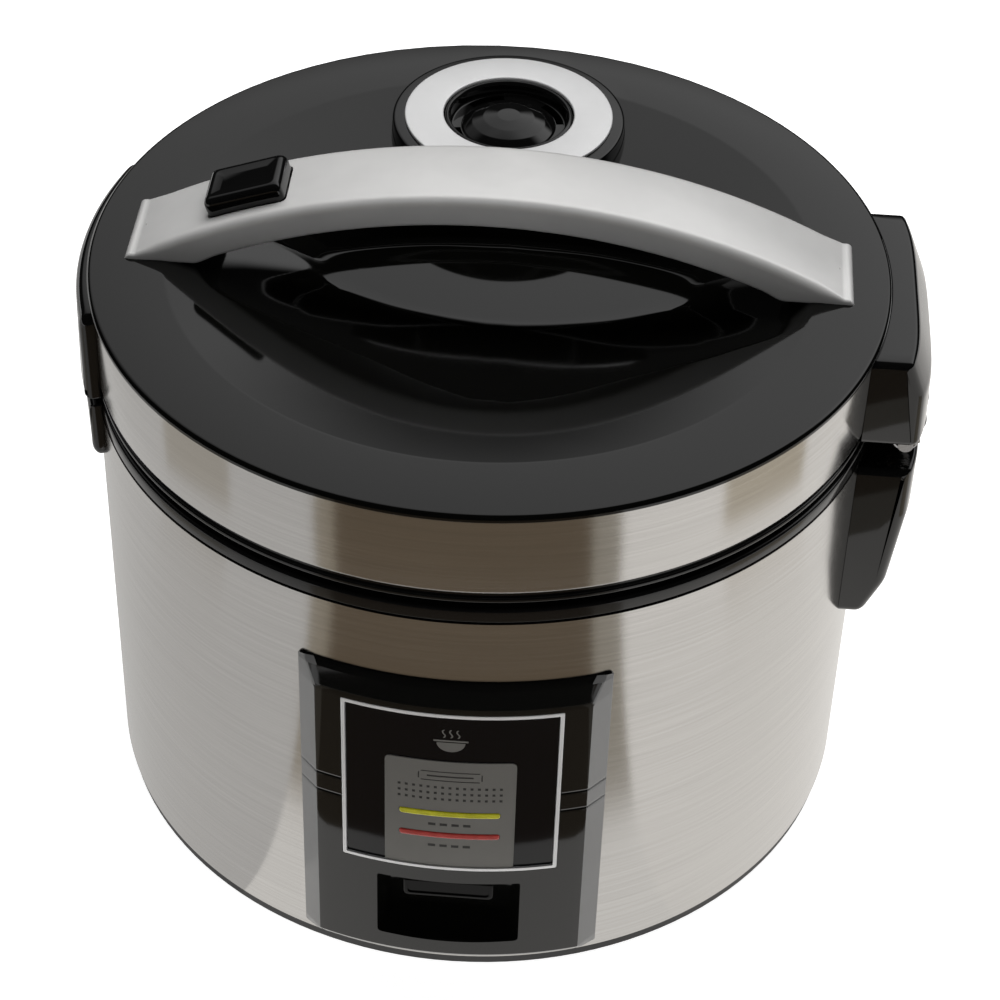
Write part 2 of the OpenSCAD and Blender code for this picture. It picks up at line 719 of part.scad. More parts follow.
module lid_cover() {
  dish_in = 30;
  dish_z = rim_z - dish_slope * (rim_r - dish_in);
  color([0.09, 0.09, 0.1]) difference() {
    union() {
      rotate_extrude() polygon([
        [0, dish_z], [dish_in, dish_z], [rim_r, rim_z], [body_r + 0.1, rim_z], [body_r + 0.6, rim_z - 0.5],
        [body_r + 0.8, band_top + 0.1], [body_r - 1.4, band_top + 0.1], [body_r - 1.4, band_top - 6],
        [body_r - 3.4, band_top - 6], [body_r - 3.4, rim_z - cover_t], [rim_r, rim_z - cover_t],
        [dish_in, dish_z - cover_t], [0, dish_z - cover_t]]);
      // walls of the scoop, kept below the dish
      intersection() {
        scoop_shape(cover_t, cover_t);
        rotate_extrude() polygon([[0, scoop_floor_z - 10], [rim_r + 4, scoop_floor_z - 10],
          [rim_r + 4, rim_z - 0.4], [rim_r, rim_z - 0.4], [dish_in, dish_z - 0.4], [0, dish_z - 0.4]]);
      }
      // bosses that the handle's screws pass through
      for (s = [-1, 1]) translate([s * (handle_tip - 7), handle_y, band_top - 8]) cylinder(r = 5, h = 9);
    }
    scoop_shape(0, 0);
    translate([0, vent_y, band_z]) cylinder(r = vent_cup_r + fit, h = 50);
    for (s = [-1, 1]) translate([s * (handle_tip - 7), handle_y, band_z]) cylinder(r = 2.1, h = 60);
    // slot for the button's stem
    block([stem_x - stem_w / 2 - gap, stem_x + stem_w / 2 + 2],
      [handle_y - stem_half - gap, handle_y + stem_half + gap],
      [band_z, rim_z + 1]);
  }
}

module lid_band() {
  color("silver") ring(body_r, body_r - sheet_t, band_z, band_h);
}

module lid_skirt() {
  color([0.2, 0.2, 0.21]) difference() {
    rotate_extrude() polygon([
      [pot_rim_r + 3, lid_z], [body_r - 1.6, lid_z], [body_r - 0.2, lid_z + 0.6],
        [body_r - 0.2, lid_z + 1.6],
      [body_r - 1.6, lid_z + 2], [body_r - 1.6, band_z - 0.4], [body_r - sheet_t - 0.2, band_z - 0.2],
      [body_r - sheet_t - 0.2, band_z + 8], [body_r - 3, band_z + 8], [body_r - 3, lid_z + 2.4],
      [pot_rim_r + 3, lid_z + 2.4]]);
    block([hook_x - hook_t - 2, hook_x + latch_travel + 3.5], [-hook_half - 0.8, hook_half + 0.8],
      [lid_z - 1, band_z + 20]);
  }
}

module lid_liner() {
  color("gray") difference() {
    rotate_extrude() polygon([
      [0, liner_z + 2], [0, liner_z + 3.4], [pot_rim_r - 6, liner_z + 3.4], [pot_rim_r - 1, liner_z + 1.2],
      [pot_rim_r + 2.8, liner_z + 1.2], [pot_rim_r + 2.8, liner_z - 0.2], [pot_rim_r - 2, liner_z - 0.2],
      [pot_rim_r - 7, liner_z + 2]]);
    translate([0, vent_y, liner_z - 1]) cylinder(r = 6.2, h = 8);
    translate([0, 0, liner_z]) cylinder(r = 3.1, h = 8);
  }
}

module lid_screws() {
  color("gainsboro") around([20, 70, 110, 160, 200, 250, 290, 340], pot_rim_r + 0.6) {
    translate([0, 0, liner_z - 1.2]) cylinder(r = 2, h = 1, $fn = 32);
  }
}

module ear_top_profile_block() {
  top = band_top + 0.1;
  skin = hinge_x + knuckle_r;
  ear_prism([[body_r - 12, lid_z], [skin - 3, lid_z], [skin, lid_z + 1.5], [skin - 1.2, top - 8],
    [skin - 3.4, top], [body_r - 12, top]], ear_half);
}

module hinge_cover() {
  skin = hinge_x + knuckle_r;
  inner = centre_half + gap;
  color([0.07, 0.07, 0.08]) difference() {
    union() {
      difference() {
        union() {
          ear_top_profile_block();
          // skin that comes down beside the knuckles
          for (s = [-1, 1]) translate([hinge_x, s * (ear_half - 1.5) + 1.5, hinge_z]) rotate([90, 0, 0])
            cylinder(r = knuckle_r, h = 3);
        }
        translate([0, 0, lid_z - 1]) ear_prism([[body_r - 13, -5], [skin - ear_skin - 1, -5],
          [skin - ear_skin - 1, band_h - 6], [skin - ear_skin - 4, band_h + 1.5],
            [body_r - 13, band_h + 1.5]],
          ear_half - ear_skin);
      }
      for (s = [-1, 1]) translate([hinge_x, s * (inner + side_len / 2) + side_len / 2, hinge_z]) {
        rotate([90, 0, 0]) cylinder(r = knuckle_r, h = side_len);
        block([-5, knuckle_r], [-side_len, 0], [0, lid_z - hinge_z + 8]);
      }
    }
    translate([0, 0, lid_z - 10]) cylinder(r = body_r + fit, h = band_h + 40);
    translate([hinge_x, 60, hinge_z]) rotate([90, 0, 0]) cylinder(r = pin_r + fit, h = 120);
    // room for the body's centre knuckle
    translate([hinge_x, inner, hinge_z]) rotate([90, 0, 0]) cylinder(r = knuckle_r + gap, h = 2 * inner);
  }
}

module latch_cover() {
  color([0.07, 0.07, 0.08]) latch_shield([[fit, lid_z], [latch_proud, lid_z], [latch_proud, band_top - 2],
    [latch_proud - 1.6, band_top], [fit, band_top]]);
}

module handle_arch() {
  top_c = rim_z + handle_rise - top_arc_r;
  under_c = rim_z + under_rise - under_arc_r;
  intersection() {
    translate([0, handle_y + handle_w / 2, 0]) rotate([90, 0, 0]) linear_extrude(height = handle_w)
      difference() {
      translate([0, top_c]) circle(r = top_arc_r, $fn = 200);
      translate([0, under_c]) circle(r = under_arc_r, $fn = 200);
      translate([-handle_tip * 3, rim_z - handle_tip * 6 + fit]) square([handle_tip * 6, handle_tip * 6]);
    }
    // rounded ends in plan
    translate([0, 0, rim_z - 5]) cylinder(r = handle_tip, h = handle_rise + 20, $fn = 200);
  }
}

// frame of the release button: origin on the handle's top, +Z along its normal
module at_button() {
  translate([button_x, handle_y, button_z]) rotate([0, -button_deg, 0]) children();
}

module carry_handle() {
  color("silver") difference() {
    handle_arch();
    at_button() {
      block([-button_l / 2 - gap, button_l / 2 + gap], [-button_w / 2 - gap, button_w / 2 + gap],
        [-4.4, 20]);
      // channel along the inside of the handle, from the button to its stem
      block([-30, 3], [-stem_half - gap, stem_half + gap], [-9.5, -4.3]);
    }
    block([stem_x - stem_w / 2 - gap, stem_x + stem_w / 2 + 2],
      [handle_y - stem_half - gap, handle_y + stem_half + gap],
      [rim_z - 1, rim_z + 4]);
    for (s = [-1, 1]) translate([s * (handle_tip - 7), handle_y, rim_z - 1]) cylinder(r = 1.7, h = 4);
  }
}

module handle_screws() {
  color("gainsboro") for (s = [-1, 1]) translate([s * (handle_tip - 7), handle_y, 0]) {
    translate([0, 0, band_top - 10.2]) cylinder(r = 3.6, h = 2.2, $fn = 32);
    translate([0, 0, band_top - 8 - eps]) cylinder(r = 1.7 - fit, h = rim_z + 3 - band_top + 8, $fn = 32);
  }
}

module release_button() {
  color([0.08, 0.08, 0.08]) at_button() {
    block([-button_l / 2, button_l / 2], [-button_w / 2, button_w / 2], [-button_travel + 2, button_h - 1]);
    block([-button_l / 2 + 1, button_l / 2 - 4], [-button_w / 2 + 1, button_w / 2 - 1],
      [button_h - 1 - eps, button_h]);
    block([-2.4, 2.4], [-stem_half, stem_half], [-6, 0]);
    block([-26, 2.4], [-stem_half, stem_half], [-6, -4.7]);
  }
  color([0.08, 0.08, 0.08])
    block([stem_x - stem_w / 2, stem_x + stem_w / 2], [handle_y - stem_half, handle_y + stem_half],
      [slider_z + 5.8, rim_z + 2.5]);
}

module button_spring() {
  color("gainsboro") at_button() translate([0, 0, -4.3]) coil(5.2, 0.5, 3.1, 2);
}

module latch_slider() {
  tip = button_x + 10;
  push = stem_x + stem_w / 2 + 0.6;
  color("ivory") {
    // post with the sloping face that the button's stem slides down
    rotate([90, 0, 0]) translate([0, 0, -6]) linear_extrude(height = 12)
      polygon([[push, slider_z], [push + 6, slider_z], [push + 6, slider_z + 8.4],
        [push + 1.6, slider_z + 8.4],
        [push, slider_z + 5]]);
    block([hook_x, tip], [-6, 6], [slider_z, slider_z + 2.4]);
    block([tip - 2.4, tip], [-6, 6], [slider_z, slider_z + 4]);
    block([hook_x, hook_x + hook_t], [-hook_half, hook_half], [catch_z - 4, slider_z + 2.4]);
    block([hook_x - 1.6, hook_x + eps], [-hook_half, hook_half], [catch_z - 4, catch_z - 1.4]);
  }
}

module latch_spring() {
  tip = button_x + 10;
  color("gainsboro") translate([tip + 0.2, 0, slider_z + 0.2]) rotate([0, 90, 0])
    coil(latch_spring_r, latch_wire, 9.5, 5);
}

module vent_ring() {
  color("silver") ring_at_vent(vent_ring_r, vent_hole_r, vent_z, 1.4);
}

module ring_at_vent(r_out, r_in, z, h) {
  translate([0, vent_y, 0]) ring(r_out, r_in, z, h);
}

module vent_cup() {
  color([0.07, 0.07, 0.08]) {
    ring_at_vent(vent_cup_r, vent_cup_r - 2, rim_z - 12, vent_z - rim_z + 12);
    ring_at_vent(vent_cup_r, vent_hole_r + 0.4, vent_z - 1.5, 1.5);
    ring_at_vent(vent_hole_r + 2.4, vent_hole_r + 0.4, cup_bottom_z, vent_z - cup_bottom_z);
    ring_at_vent(vent_hole_r + 2.4, 6, cup_bottom_z, 2);
  }
}

module vent_cap() {
  dome_r = vent_hole_r * 0.7;
  sphere_r = dome_r * 1.6;
  color([0.06, 0.06, 0.07]) translate([0, vent_y, 0]) difference() {
    union() {
      ring(vent_hole_r - gap, dome_r - 1, vent_z - 4, 2);
      ring(vent_hole_r - gap, vent_hole_r - gap - 2, vent_z - 12, 13);
      intersection() {
        translate([0, 0, vent_z + 1 - sphere_r]) sphere(r = sphere_r, $fn = 96);
        translate([0, 0, vent_z - 4]) cylinder(r = dome_r, h = 20);
      }
    }
    for (a = [30, 90, 150, 270]) rotate([0, 0, a - 20]) rotate_extrude(angle = 40)
      translate([dome_r + 1, vent_z - 5]) square([2.6, 6]);
  }
}

module vent_seal() {
  color("darkred") translate([0, vent_y, 0]) {
    ring(5.8, 3.4, inner_lid_z + 2.4, cup_bottom_z + 3 - inner_lid_z - 2.4);
    ring(8, 3.4, cup_bottom_z + 2.1, 1.4);
  }
}

module inner_lid() {
  r_in = pot_r - pot_t - 3;
  color("whitesmoke") difference() {
    rotate_extrude() polygon([
      [3, inner_lid_z + 1.2], [3, inner_lid_z + 2], [r_in - 8, inner_lid_z + 2],
        [r_in - 2, inner_lid_z - 3.4],
      [r_in, inner_lid_z - 3.4], [r_in, inner_lid_z - 4.2], [r_in - 2.4, inner_lid_z - 4.2],
      [r_in - 8.4, inner_lid_z + 1.2]]);
    for (a = [0:45:315]) rotate([0, 0, a]) translate([60, 0, inner_lid_z]) cylinder(r = 2, h = 4);
    translate([0, vent_y, inner_lid_z]) cylinder(r = 3.5, h = 4);
  }
}

module lid_gasket() {
  color("lightgray") {
    rotate_extrude() polygon([
      [pot_r - pot_t - 2.9, inner_lid_z - 2.4], [pot_r - pot_t - 1.6, inner_lid_z - 2.4],
      [pot_r - pot_t - 1.6, seat_z + pot_rim_t + 0.4], [pot_r + 5, seat_z + pot_rim_t + 0.4],
      [pot_r + 5, liner_z - 0.3], [pot_r + 1, liner_z - 0.3], [pot_r - pot_t - 2.9, inner_lid_z - 0.6]]);
  }
}

module inner_lid_knob() {
  color("whitesmoke") {
    translate([0, 0, inner_lid_z - 4]) cylinder(r = 7, h = 5.2, $fn = 64);
    translate([0, 0, inner_lid_z + 1]) cylinder(r = 2.9, h = liner_z + 4 - inner_lid_z, $fn = 48);
  }
}

translate([-middle_x, 0, 0]) {
  outer_shell();
  base_tray();
  rubber_feet();
  base_screws();
  upper_collar();
  heat_shield();
  heating_plate();
  heating_element();
  support_posts();
  plate_spacers();
  thermostat_cup();
  thermostat_spring();
  magnet_rod();
  guide_plate();
  lever_bracket();
  lever_pivot_pin();
  lever_arm();
  cook_lever();
  micro_switch();
  thermal_fuse();
  warming_band();
  lamp_board();
  indicator_lamps();
  warm_lens();
  cook_lens();
  control_panel();
  panel_frame();
  panel_face();
  panel_card();
  terminal_block();
  wiring();
  power_inlet();
  inlet_pins();
  inlet_screws();
  hinge_bracket();
  hinge_pin();
  hinge_springs();
  latch_keeper();
  inner_pot();
  lid_cover();
  lid_band();
  lid_skirt();
  lid_liner();
  lid_screws();
  hinge_cover();
  latch_cover();
  carry_handle();
  handle_screws();
  vent_ring();
  vent_cup();
  vent_cap();
  vent_seal();
  latch_slider();
  latch_spring();
  release_button();
  button_spring();
  inner_lid();
  lid_gasket();
  inner_lid_knob();
}
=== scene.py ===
"""Rice cooker: the looks of a lidded electric cooker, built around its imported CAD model.

Lengths are in millimetres up to the moment when a mesh is made, which is in metres.
+Z is up, the front panel faces -Y, the hinge is at +X and the latch at -X.
"""
import json
import logging
import math
from dataclasses import dataclass
from enum import Enum
from typing import Callable, Iterable, Sequence

import bmesh
import bpy
from mathutils import Matrix, Vector

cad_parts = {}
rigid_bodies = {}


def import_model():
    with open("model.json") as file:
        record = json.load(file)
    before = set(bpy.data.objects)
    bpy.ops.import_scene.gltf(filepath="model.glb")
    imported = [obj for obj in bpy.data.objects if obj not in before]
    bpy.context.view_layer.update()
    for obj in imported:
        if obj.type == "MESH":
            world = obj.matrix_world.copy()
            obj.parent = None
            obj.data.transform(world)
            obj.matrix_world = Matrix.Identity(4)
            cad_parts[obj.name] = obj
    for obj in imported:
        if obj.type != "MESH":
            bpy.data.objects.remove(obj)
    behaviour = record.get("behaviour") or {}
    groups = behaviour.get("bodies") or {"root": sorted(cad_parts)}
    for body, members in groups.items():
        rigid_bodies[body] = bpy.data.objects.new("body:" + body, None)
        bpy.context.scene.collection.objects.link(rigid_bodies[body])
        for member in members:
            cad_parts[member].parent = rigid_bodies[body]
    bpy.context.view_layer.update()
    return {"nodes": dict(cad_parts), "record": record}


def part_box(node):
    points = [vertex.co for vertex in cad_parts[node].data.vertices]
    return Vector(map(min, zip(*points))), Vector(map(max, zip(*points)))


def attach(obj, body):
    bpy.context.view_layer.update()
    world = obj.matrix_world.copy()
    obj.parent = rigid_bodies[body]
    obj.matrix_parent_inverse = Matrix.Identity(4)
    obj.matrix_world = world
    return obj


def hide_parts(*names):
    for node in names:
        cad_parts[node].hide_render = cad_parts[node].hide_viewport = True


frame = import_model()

log = logging.getLogger("rice_cooker")

MM = 0.001
DRUM_STEPS = 240  # pieces round the drum's rings
VENT_STEPS = 160  # pieces round the vent's rings
POT_STEPS = 200   # pieces round the pot and the inner lid
BORE_STEPS = 360  # pieces round the drum-shaped tools of the hinge
Flat = tuple[float, float]
Point = tuple[float, float, float]
Socket = bpy.types.NodeSocket
Input = object  # a number, a vector, a Value or a socket


# ---------- sizes ----------

AXIS_X: float = sum(corner[0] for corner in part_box("outer_shell")) / 2 / MM


def span(node: str, axis: int) -> tuple[float, float]:
    """Lowest and highest place of a CAD node along one axis, in millimetres about the drum's axis.

    Args:
        node: name of the CAD node.
        axis: 0, 1 or 2 for X, Y or Z.
    Returns:
        The two places.
    """
    low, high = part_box(node)
    start = AXIS_X if axis == 0 else 0.0
    return low[axis] / MM - start, high[axis] / MM - start


@dataclass(frozen=True)
class Sizes:
    """Sizes that several sub-assemblies share, read from the CAD model's own boxes."""

    drum_r: float = span("outer_shell", 0)[1]
    shell_low: float = span("outer_shell", 2)[0]
    shell_top: float = span("outer_shell", 2)[1]
    collar_top: float = span("upper_collar", 2)[1]
    lid_low: float = span("lid_skirt", 2)[0]
    band_low: float = span("lid_band", 2)[0]
    band_top: float = span("lid_band", 2)[1]
    rim_z: float = span("lid_cover", 2)[1]
    handle_tip: float = span("carry_handle", 0)[1]
    handle_low_y: float = span("carry_handle", 1)[0]
    handle_high_y: float = span("carry_handle", 1)[1]
    panel_r: float = -span("control_panel", 1)[0]
    panel_low: float = span("control_panel", 2)[0]
    panel_top: float = span("control_panel", 2)[1]
    ear_x: float = span("hinge_cover", 0)[1]
    ear_half: float = span("hinge_cover", 1)[1]
    vent_y: float = 82.0
    sheet: float = 0.6


SIZE = Sizes()


# ---------- shader and geometry trees ----------

class Value:
    """A socket that can be added and multiplied as a number."""

    def __init__(self, graph: "Graph", socket: Socket) -> None:
        """Keeps the socket and the graph that it belongs to."""
        self.graph = graph
        self.socket = socket

    def _math(self, operation: str, *values: Input) -> "Value":
        """Adds a Math node for an operation on the values."""
        return self.graph.node("ShaderNodeMath", {"operation": operation}, dict(enumerate(values)))

    def __add__(self, other: Input) -> "Value":
        """Sum."""
        return self._math("ADD", self, other)

    def __sub__(self, other: Input) -> "Value":
        """Difference."""
        return self._math("SUBTRACT", self, other)

    def __rsub__(self, other: Input) -> "Value":
        """Difference with the value on the right."""
        return self._math("SUBTRACT", other, self)

    def __mul__(self, other: Input) -> "Value":
        """Product."""
        return self._math("MULTIPLY", self, other)

    def __truediv__(self, other: Input) -> "Value":
        """Quotient."""
        return self._math("DIVIDE", self, other)

    def sine(self) -> "Value":
        """Sine of an angle in radians."""
        return self._math("SINE", self)

    def cosine(self) -> "Value":
        """Cosine of an angle in radians."""
        return self._math("COSINE", self)

    def step(self, low: float, high: float, to_low: float = 0.0, to_high: float = 1.0) -> "Value":
        """Smooth step from one value to another.

        Args:
            low: where the step starts.
            high: where it ends.
            to_low: result at and below low.
            to_high: result at and above high.
        Returns:
            The stepped value.
        """
        return self.graph.node("ShaderNodeMapRange", {"interpolation_type": "SMOOTHSTEP"},
                               {"Value": self, "From Min": low, "From Max": high,
                                "To Min": to_low, "To Max": to_high})


class Graph:
    """A node tree that is filled by one method."""

    def __init__(self, tree: bpy.types.NodeTree) -> None:
        """Starts on an empty tree."""
        self.tree = tree
        tree.nodes.clear()

    def node(self, kind: str, settings: dict[str, object] | None = None,
             inputs: dict[str | int, Input] | None = None, output: str | int = 0) -> Value:
        """Adds a node.

        Args:
            kind: the node's type.
            settings: properties that are set before the sockets.
            inputs: value or link for each socket, by name or place.
            output: name or place of the output that is wanted.
        Returns:
            The wanted output.
        """
        made = self.tree.nodes.new(kind)
        for name, value in (settings or {}).items():
            setattr(made, name, value)
        for name, value in (inputs or {}).items():
            self.feed(made.inputs[name], value)
        return Value(self, made.outputs[output]) if made.outputs else Value(self, None)

    def feed(self, socket: Socket, value: Input) -> None:
        """Links or sets one input socket."""
        if isinstance(value, Value):
            self.tree.links.new(value.socket, socket)
        elif isinstance(value, bpy.types.NodeSocket):
            self.tree.links.new(value, socket)
        elif isinstance(value, (tuple, list)) and len(value) == 3 and socket.type == "RGBA":
            socket.default_value = (*value, 1.0)
        else:
            socket.default_value = value

    def parts(self, vector: Input) -> tuple[Value, Value, Value]:
        """X, Y and Z of a vector."""
        x = self.node("ShaderNodeSeparateXYZ", inputs={0: vector})
        return tuple(Value(self, s) for s in x.socket.node.outputs)

    def vector(self, x: Input, y: Input, z: Input) -> Value:
        """A vector from its three numbers."""
        return self.node("ShaderNodeCombineXYZ", inputs={0: x, 1: y, 2: z})

    def mix(self, factor: Input, a: Input, b: Input) -> Value:
        """A colour between a and b."""
        made = self.node("ShaderNodeMix", {"data_type": "RGBA"}, {"Factor": factor}, output=2)
        self.feed(made.socket.node.inputs[6], a)
        self.feed(made.socket.node.inputs[7], b)
        return made


class Surface(Graph):
    """A material's node tree, with the object's own coordinates in millimetres."""

    def __init__(self, material: bpy.types.Material) -> None:
        """Empties the material's tree."""
        material.use_nodes = True
        super().__init__(material.node_tree)
        place = self.node("ShaderNodeTexCoord", output="Object")
        about = self.node("ShaderNodeVectorMath", {"operation": "SUBTRACT"},
                          {0: place, 1: (AXIS_X * MM, 0.0, 0.0)})
        self.place = self.node("ShaderNodeVectorMath", {"operation": "SCALE"}, {0: about, "Scale": 1 / MM})

    def noise(self, scale: float | Sequence[float], detail: float = 2.0, roughness: float = 0.5) -> Value:
        """Noise of about zero to one.

        Args:
            scale: waves per millimetre, one number or one for each axis.
            detail: octaves.
            roughness: weight of the finer octaves.
        Returns:
            The noise.
        """
        stretch = scale if isinstance(scale, (tuple, list)) else (scale,) * 3
        at = self.node("ShaderNodeVectorMath", {"operation": "MULTIPLY"}, {0: self.place, 1: stretch})
        return self.node("ShaderNodeTexNoise", inputs={"Vector": at, "Scale": 1.0, "Detail": detail,
                                                       "Roughness": roughness})

    def bump(self, height: Value, depth: float, normal: Input = None) -> Value:
        """Normal of a height field.

        Args:
            height: the field, zero to one.
            depth: its depth in millimetres.
            normal: a normal to start from.
        Returns:
            The bumped normal.
        """
        inputs = {"Height": height, "Distance": depth * MM, "Strength": 1.0}
        if normal is not None:
            inputs["Normal"] = normal
        return self.node("ShaderNodeBump", inputs=inputs)

    def close(self, constants: dict[str, Input], varying: dict[str, Input]) -> None:
        """Adds the shader and the output.

        Args:
            constants: sockets that are the same all over.
            varying: sockets that change over the surface.
        """
        shader = self.node("ShaderNodeBsdfPrincipled", inputs={**constants, **varying})
        self.node("ShaderNodeOutputMaterial", inputs={"Surface": shader})


# ---------- finishes ----------

@dataclass(frozen=True)
class Finish:
    """A finish of the cooker; each kind dresses a material in its own way."""

    name: str
    colour: Point

    def dress(self, surface: Surface) -> None:
        """Fills a material's node tree."""
        raise NotImplementedError

    def material(self) -> bpy.types.Material:
        """The material of this finish, made once under a name that the CAD frame doesn't use."""
        name = f"{self.name}.finish"
        found = bpy.data.materials.get(name)
        if found is None:
            found = bpy.data.materials.new(name)
            self.dress(Surface(found))
            found.diffuse_color = (*self.colour, 1.0)
        return found


@dataclass(frozen=True)
class BrushedSteel(Finish):
    """Stainless sheet, brushed round the drum: fine lines, a satin sheen and faint smudges."""

    roughness: float = 0.17
    anisotropy: float = 0.8
    quarter_turn: float = 0.25
    line_waves: Point = (0.012, 0.012, 6.0)
    broad_waves: Point = (0.02, 0.02, 1.1)
    cloud_waves: float = 0.012
    dark_share: float = 0.84
    line_depth: float = 0.006

    def dress(self, surface: Surface) -> None:
        """Fills a material's node tree."""
        lines = surface.noise(self.line_waves, 3.0, 0.65)
        broad = surface.noise(self.broad_waves, 2.0)
        cloud = surface.noise(self.cloud_waves, 3.0)
        tone = lines * 0.5 + broad * 0.3 + cloud * 0.2
        dark = tuple(c * self.dark_share for c in self.colour)
        surface.close(
            {"Anisotropic": self.anisotropy, "Anisotropic Rotation": self.quarter_turn},
            {"Base Color": surface.mix(tone.step(0.3, 0.72), dark, self.colour),
             "Metallic": 1.0,
             "Roughness": (lines - 0.5) * 0.14 + (cloud - 0.5) * 0.08 + self.roughness,
             "Normal": surface.bump(lines, self.line_depth)})


@dataclass(frozen=True)
class Plastic(Finish):
    """Moulded plastic, from mirror gloss to a fine spark-eroded texture."""

    roughness: float = 0.1
    grain: float = 0.0
    grain_scale: float = 2.2
    specular: float = 0.5
    metallic: float = 0.0
    scuff_waves: Point = (0.5, 0.08, 0.5)
    wave_depth: float = 0.02

    def dress(self, surface: Surface) -> None:
        """Fills a material's node tree."""
        cloud = surface.noise(0.02, 4.0, 0.6)
        wave = surface.noise(0.045, 1.0)
        grain = surface.noise(self.grain_scale, 3.0, 0.6)
        scuff = surface.noise(self.scuff_waves, 4.0, 0.7).step(0.62, 0.8)
        light = tuple(min(1.0, c * 1.05 + 0.0003) for c in self.colour)
        dark = tuple(c * 0.94 for c in self.colour)
        normal = surface.bump(wave, self.wave_depth)
        if self.grain:
            normal = surface.bump(grain, self.grain, normal)
        surface.close(
            {"Specular IOR Level": self.specular, "Metallic": self.metallic},
            {"Base Color": surface.mix(cloud.step(0.3, 0.7), dark, light),
             "Roughness": ((cloud - 0.5) * 0.5 + scuff * 0.3 + 1.0) * self.roughness,
             "Normal": normal})


@dataclass(frozen=True)
class Metal(Finish):
    """Bare or plated metal: cast, sheet, wire or turned."""

    roughness: float = 0.3
    grain: float = 0.01
    grain_scale: float = 1.5
    spangle: float = 0.0
    rings: float = 0.0
    stain: float = 0.1

    def dress(self, surface: Surface) -> None:
        """Fills a material's node tree."""
        cloud = surface.noise(0.03, 4.0, 0.6)
        grain = surface.noise(self.grain_scale, 3.0, 0.65)
        height = grain
        tone = cloud
        if self.spangle:
            at = surface.node("ShaderNodeVectorMath", {"operation": "SCALE"},
                              {0: surface.place, "Scale": self.spangle})
            flake = surface.node("ShaderNodeTexVoronoi", inputs={"Vector": at, "Scale": 1.0},
                                 output="Color")
            tone = cloud * 0.4 + surface.parts(flake)[0] * 0.6
        if self.rings:
            x, y, _ = surface.parts(surface.place)
            across = surface.node("ShaderNodeMath", {"operation": "SQRT"}, {0: x * x + y * y})
            height = (across * self.rings).sine() * 0.5 + grain * 0.5
        dark = tuple(c * (1 - 2.2 * self.stain) for c in self.colour)
        surface.close(
            {"Specular IOR Level": 0.5},
            {"Base Color": surface.mix(tone.step(0.25, 0.75), dark, self.colour),
             "Metallic": 1.0,
             "Roughness": (tone - 0.5) * 0.16 + self.roughness,
             "Normal": surface.bump(height, self.grain)})


@dataclass(frozen=True)
class Lens(Finish):
    """Clear tinted plastic over a lamp."""

    roughness: float = 0.12
    clear: float = 0.25
    index: float = 1.49
    rib_waves: Point = (1.4, 0.2, 0.2)
    rib_depth: float = 0.03
    afterglow: float = 0.06

    def dress(self, surface: Surface) -> None:
        """Fills a material's node tree."""
        cloud = surface.noise(0.25, 2.0)
        ribs = surface.noise(self.rib_waves, 1.0)
        deep = tuple(c * 0.78 for c in self.colour)
        surface.close(
            {"Transmission Weight": self.clear, "IOR": self.index, "Coat Roughness": 0.04},
            {"Base Color": surface.mix(cloud.step(0.3, 0.7), deep, self.colour),
             "Roughness": (cloud - 0.5) * 0.06 + self.roughness,
             "Coat Weight": 0.5,
             "Emission Color": tuple(c * self.afterglow for c in self.colour),
             "Normal": surface.bump(ribs, self.rib_depth)})


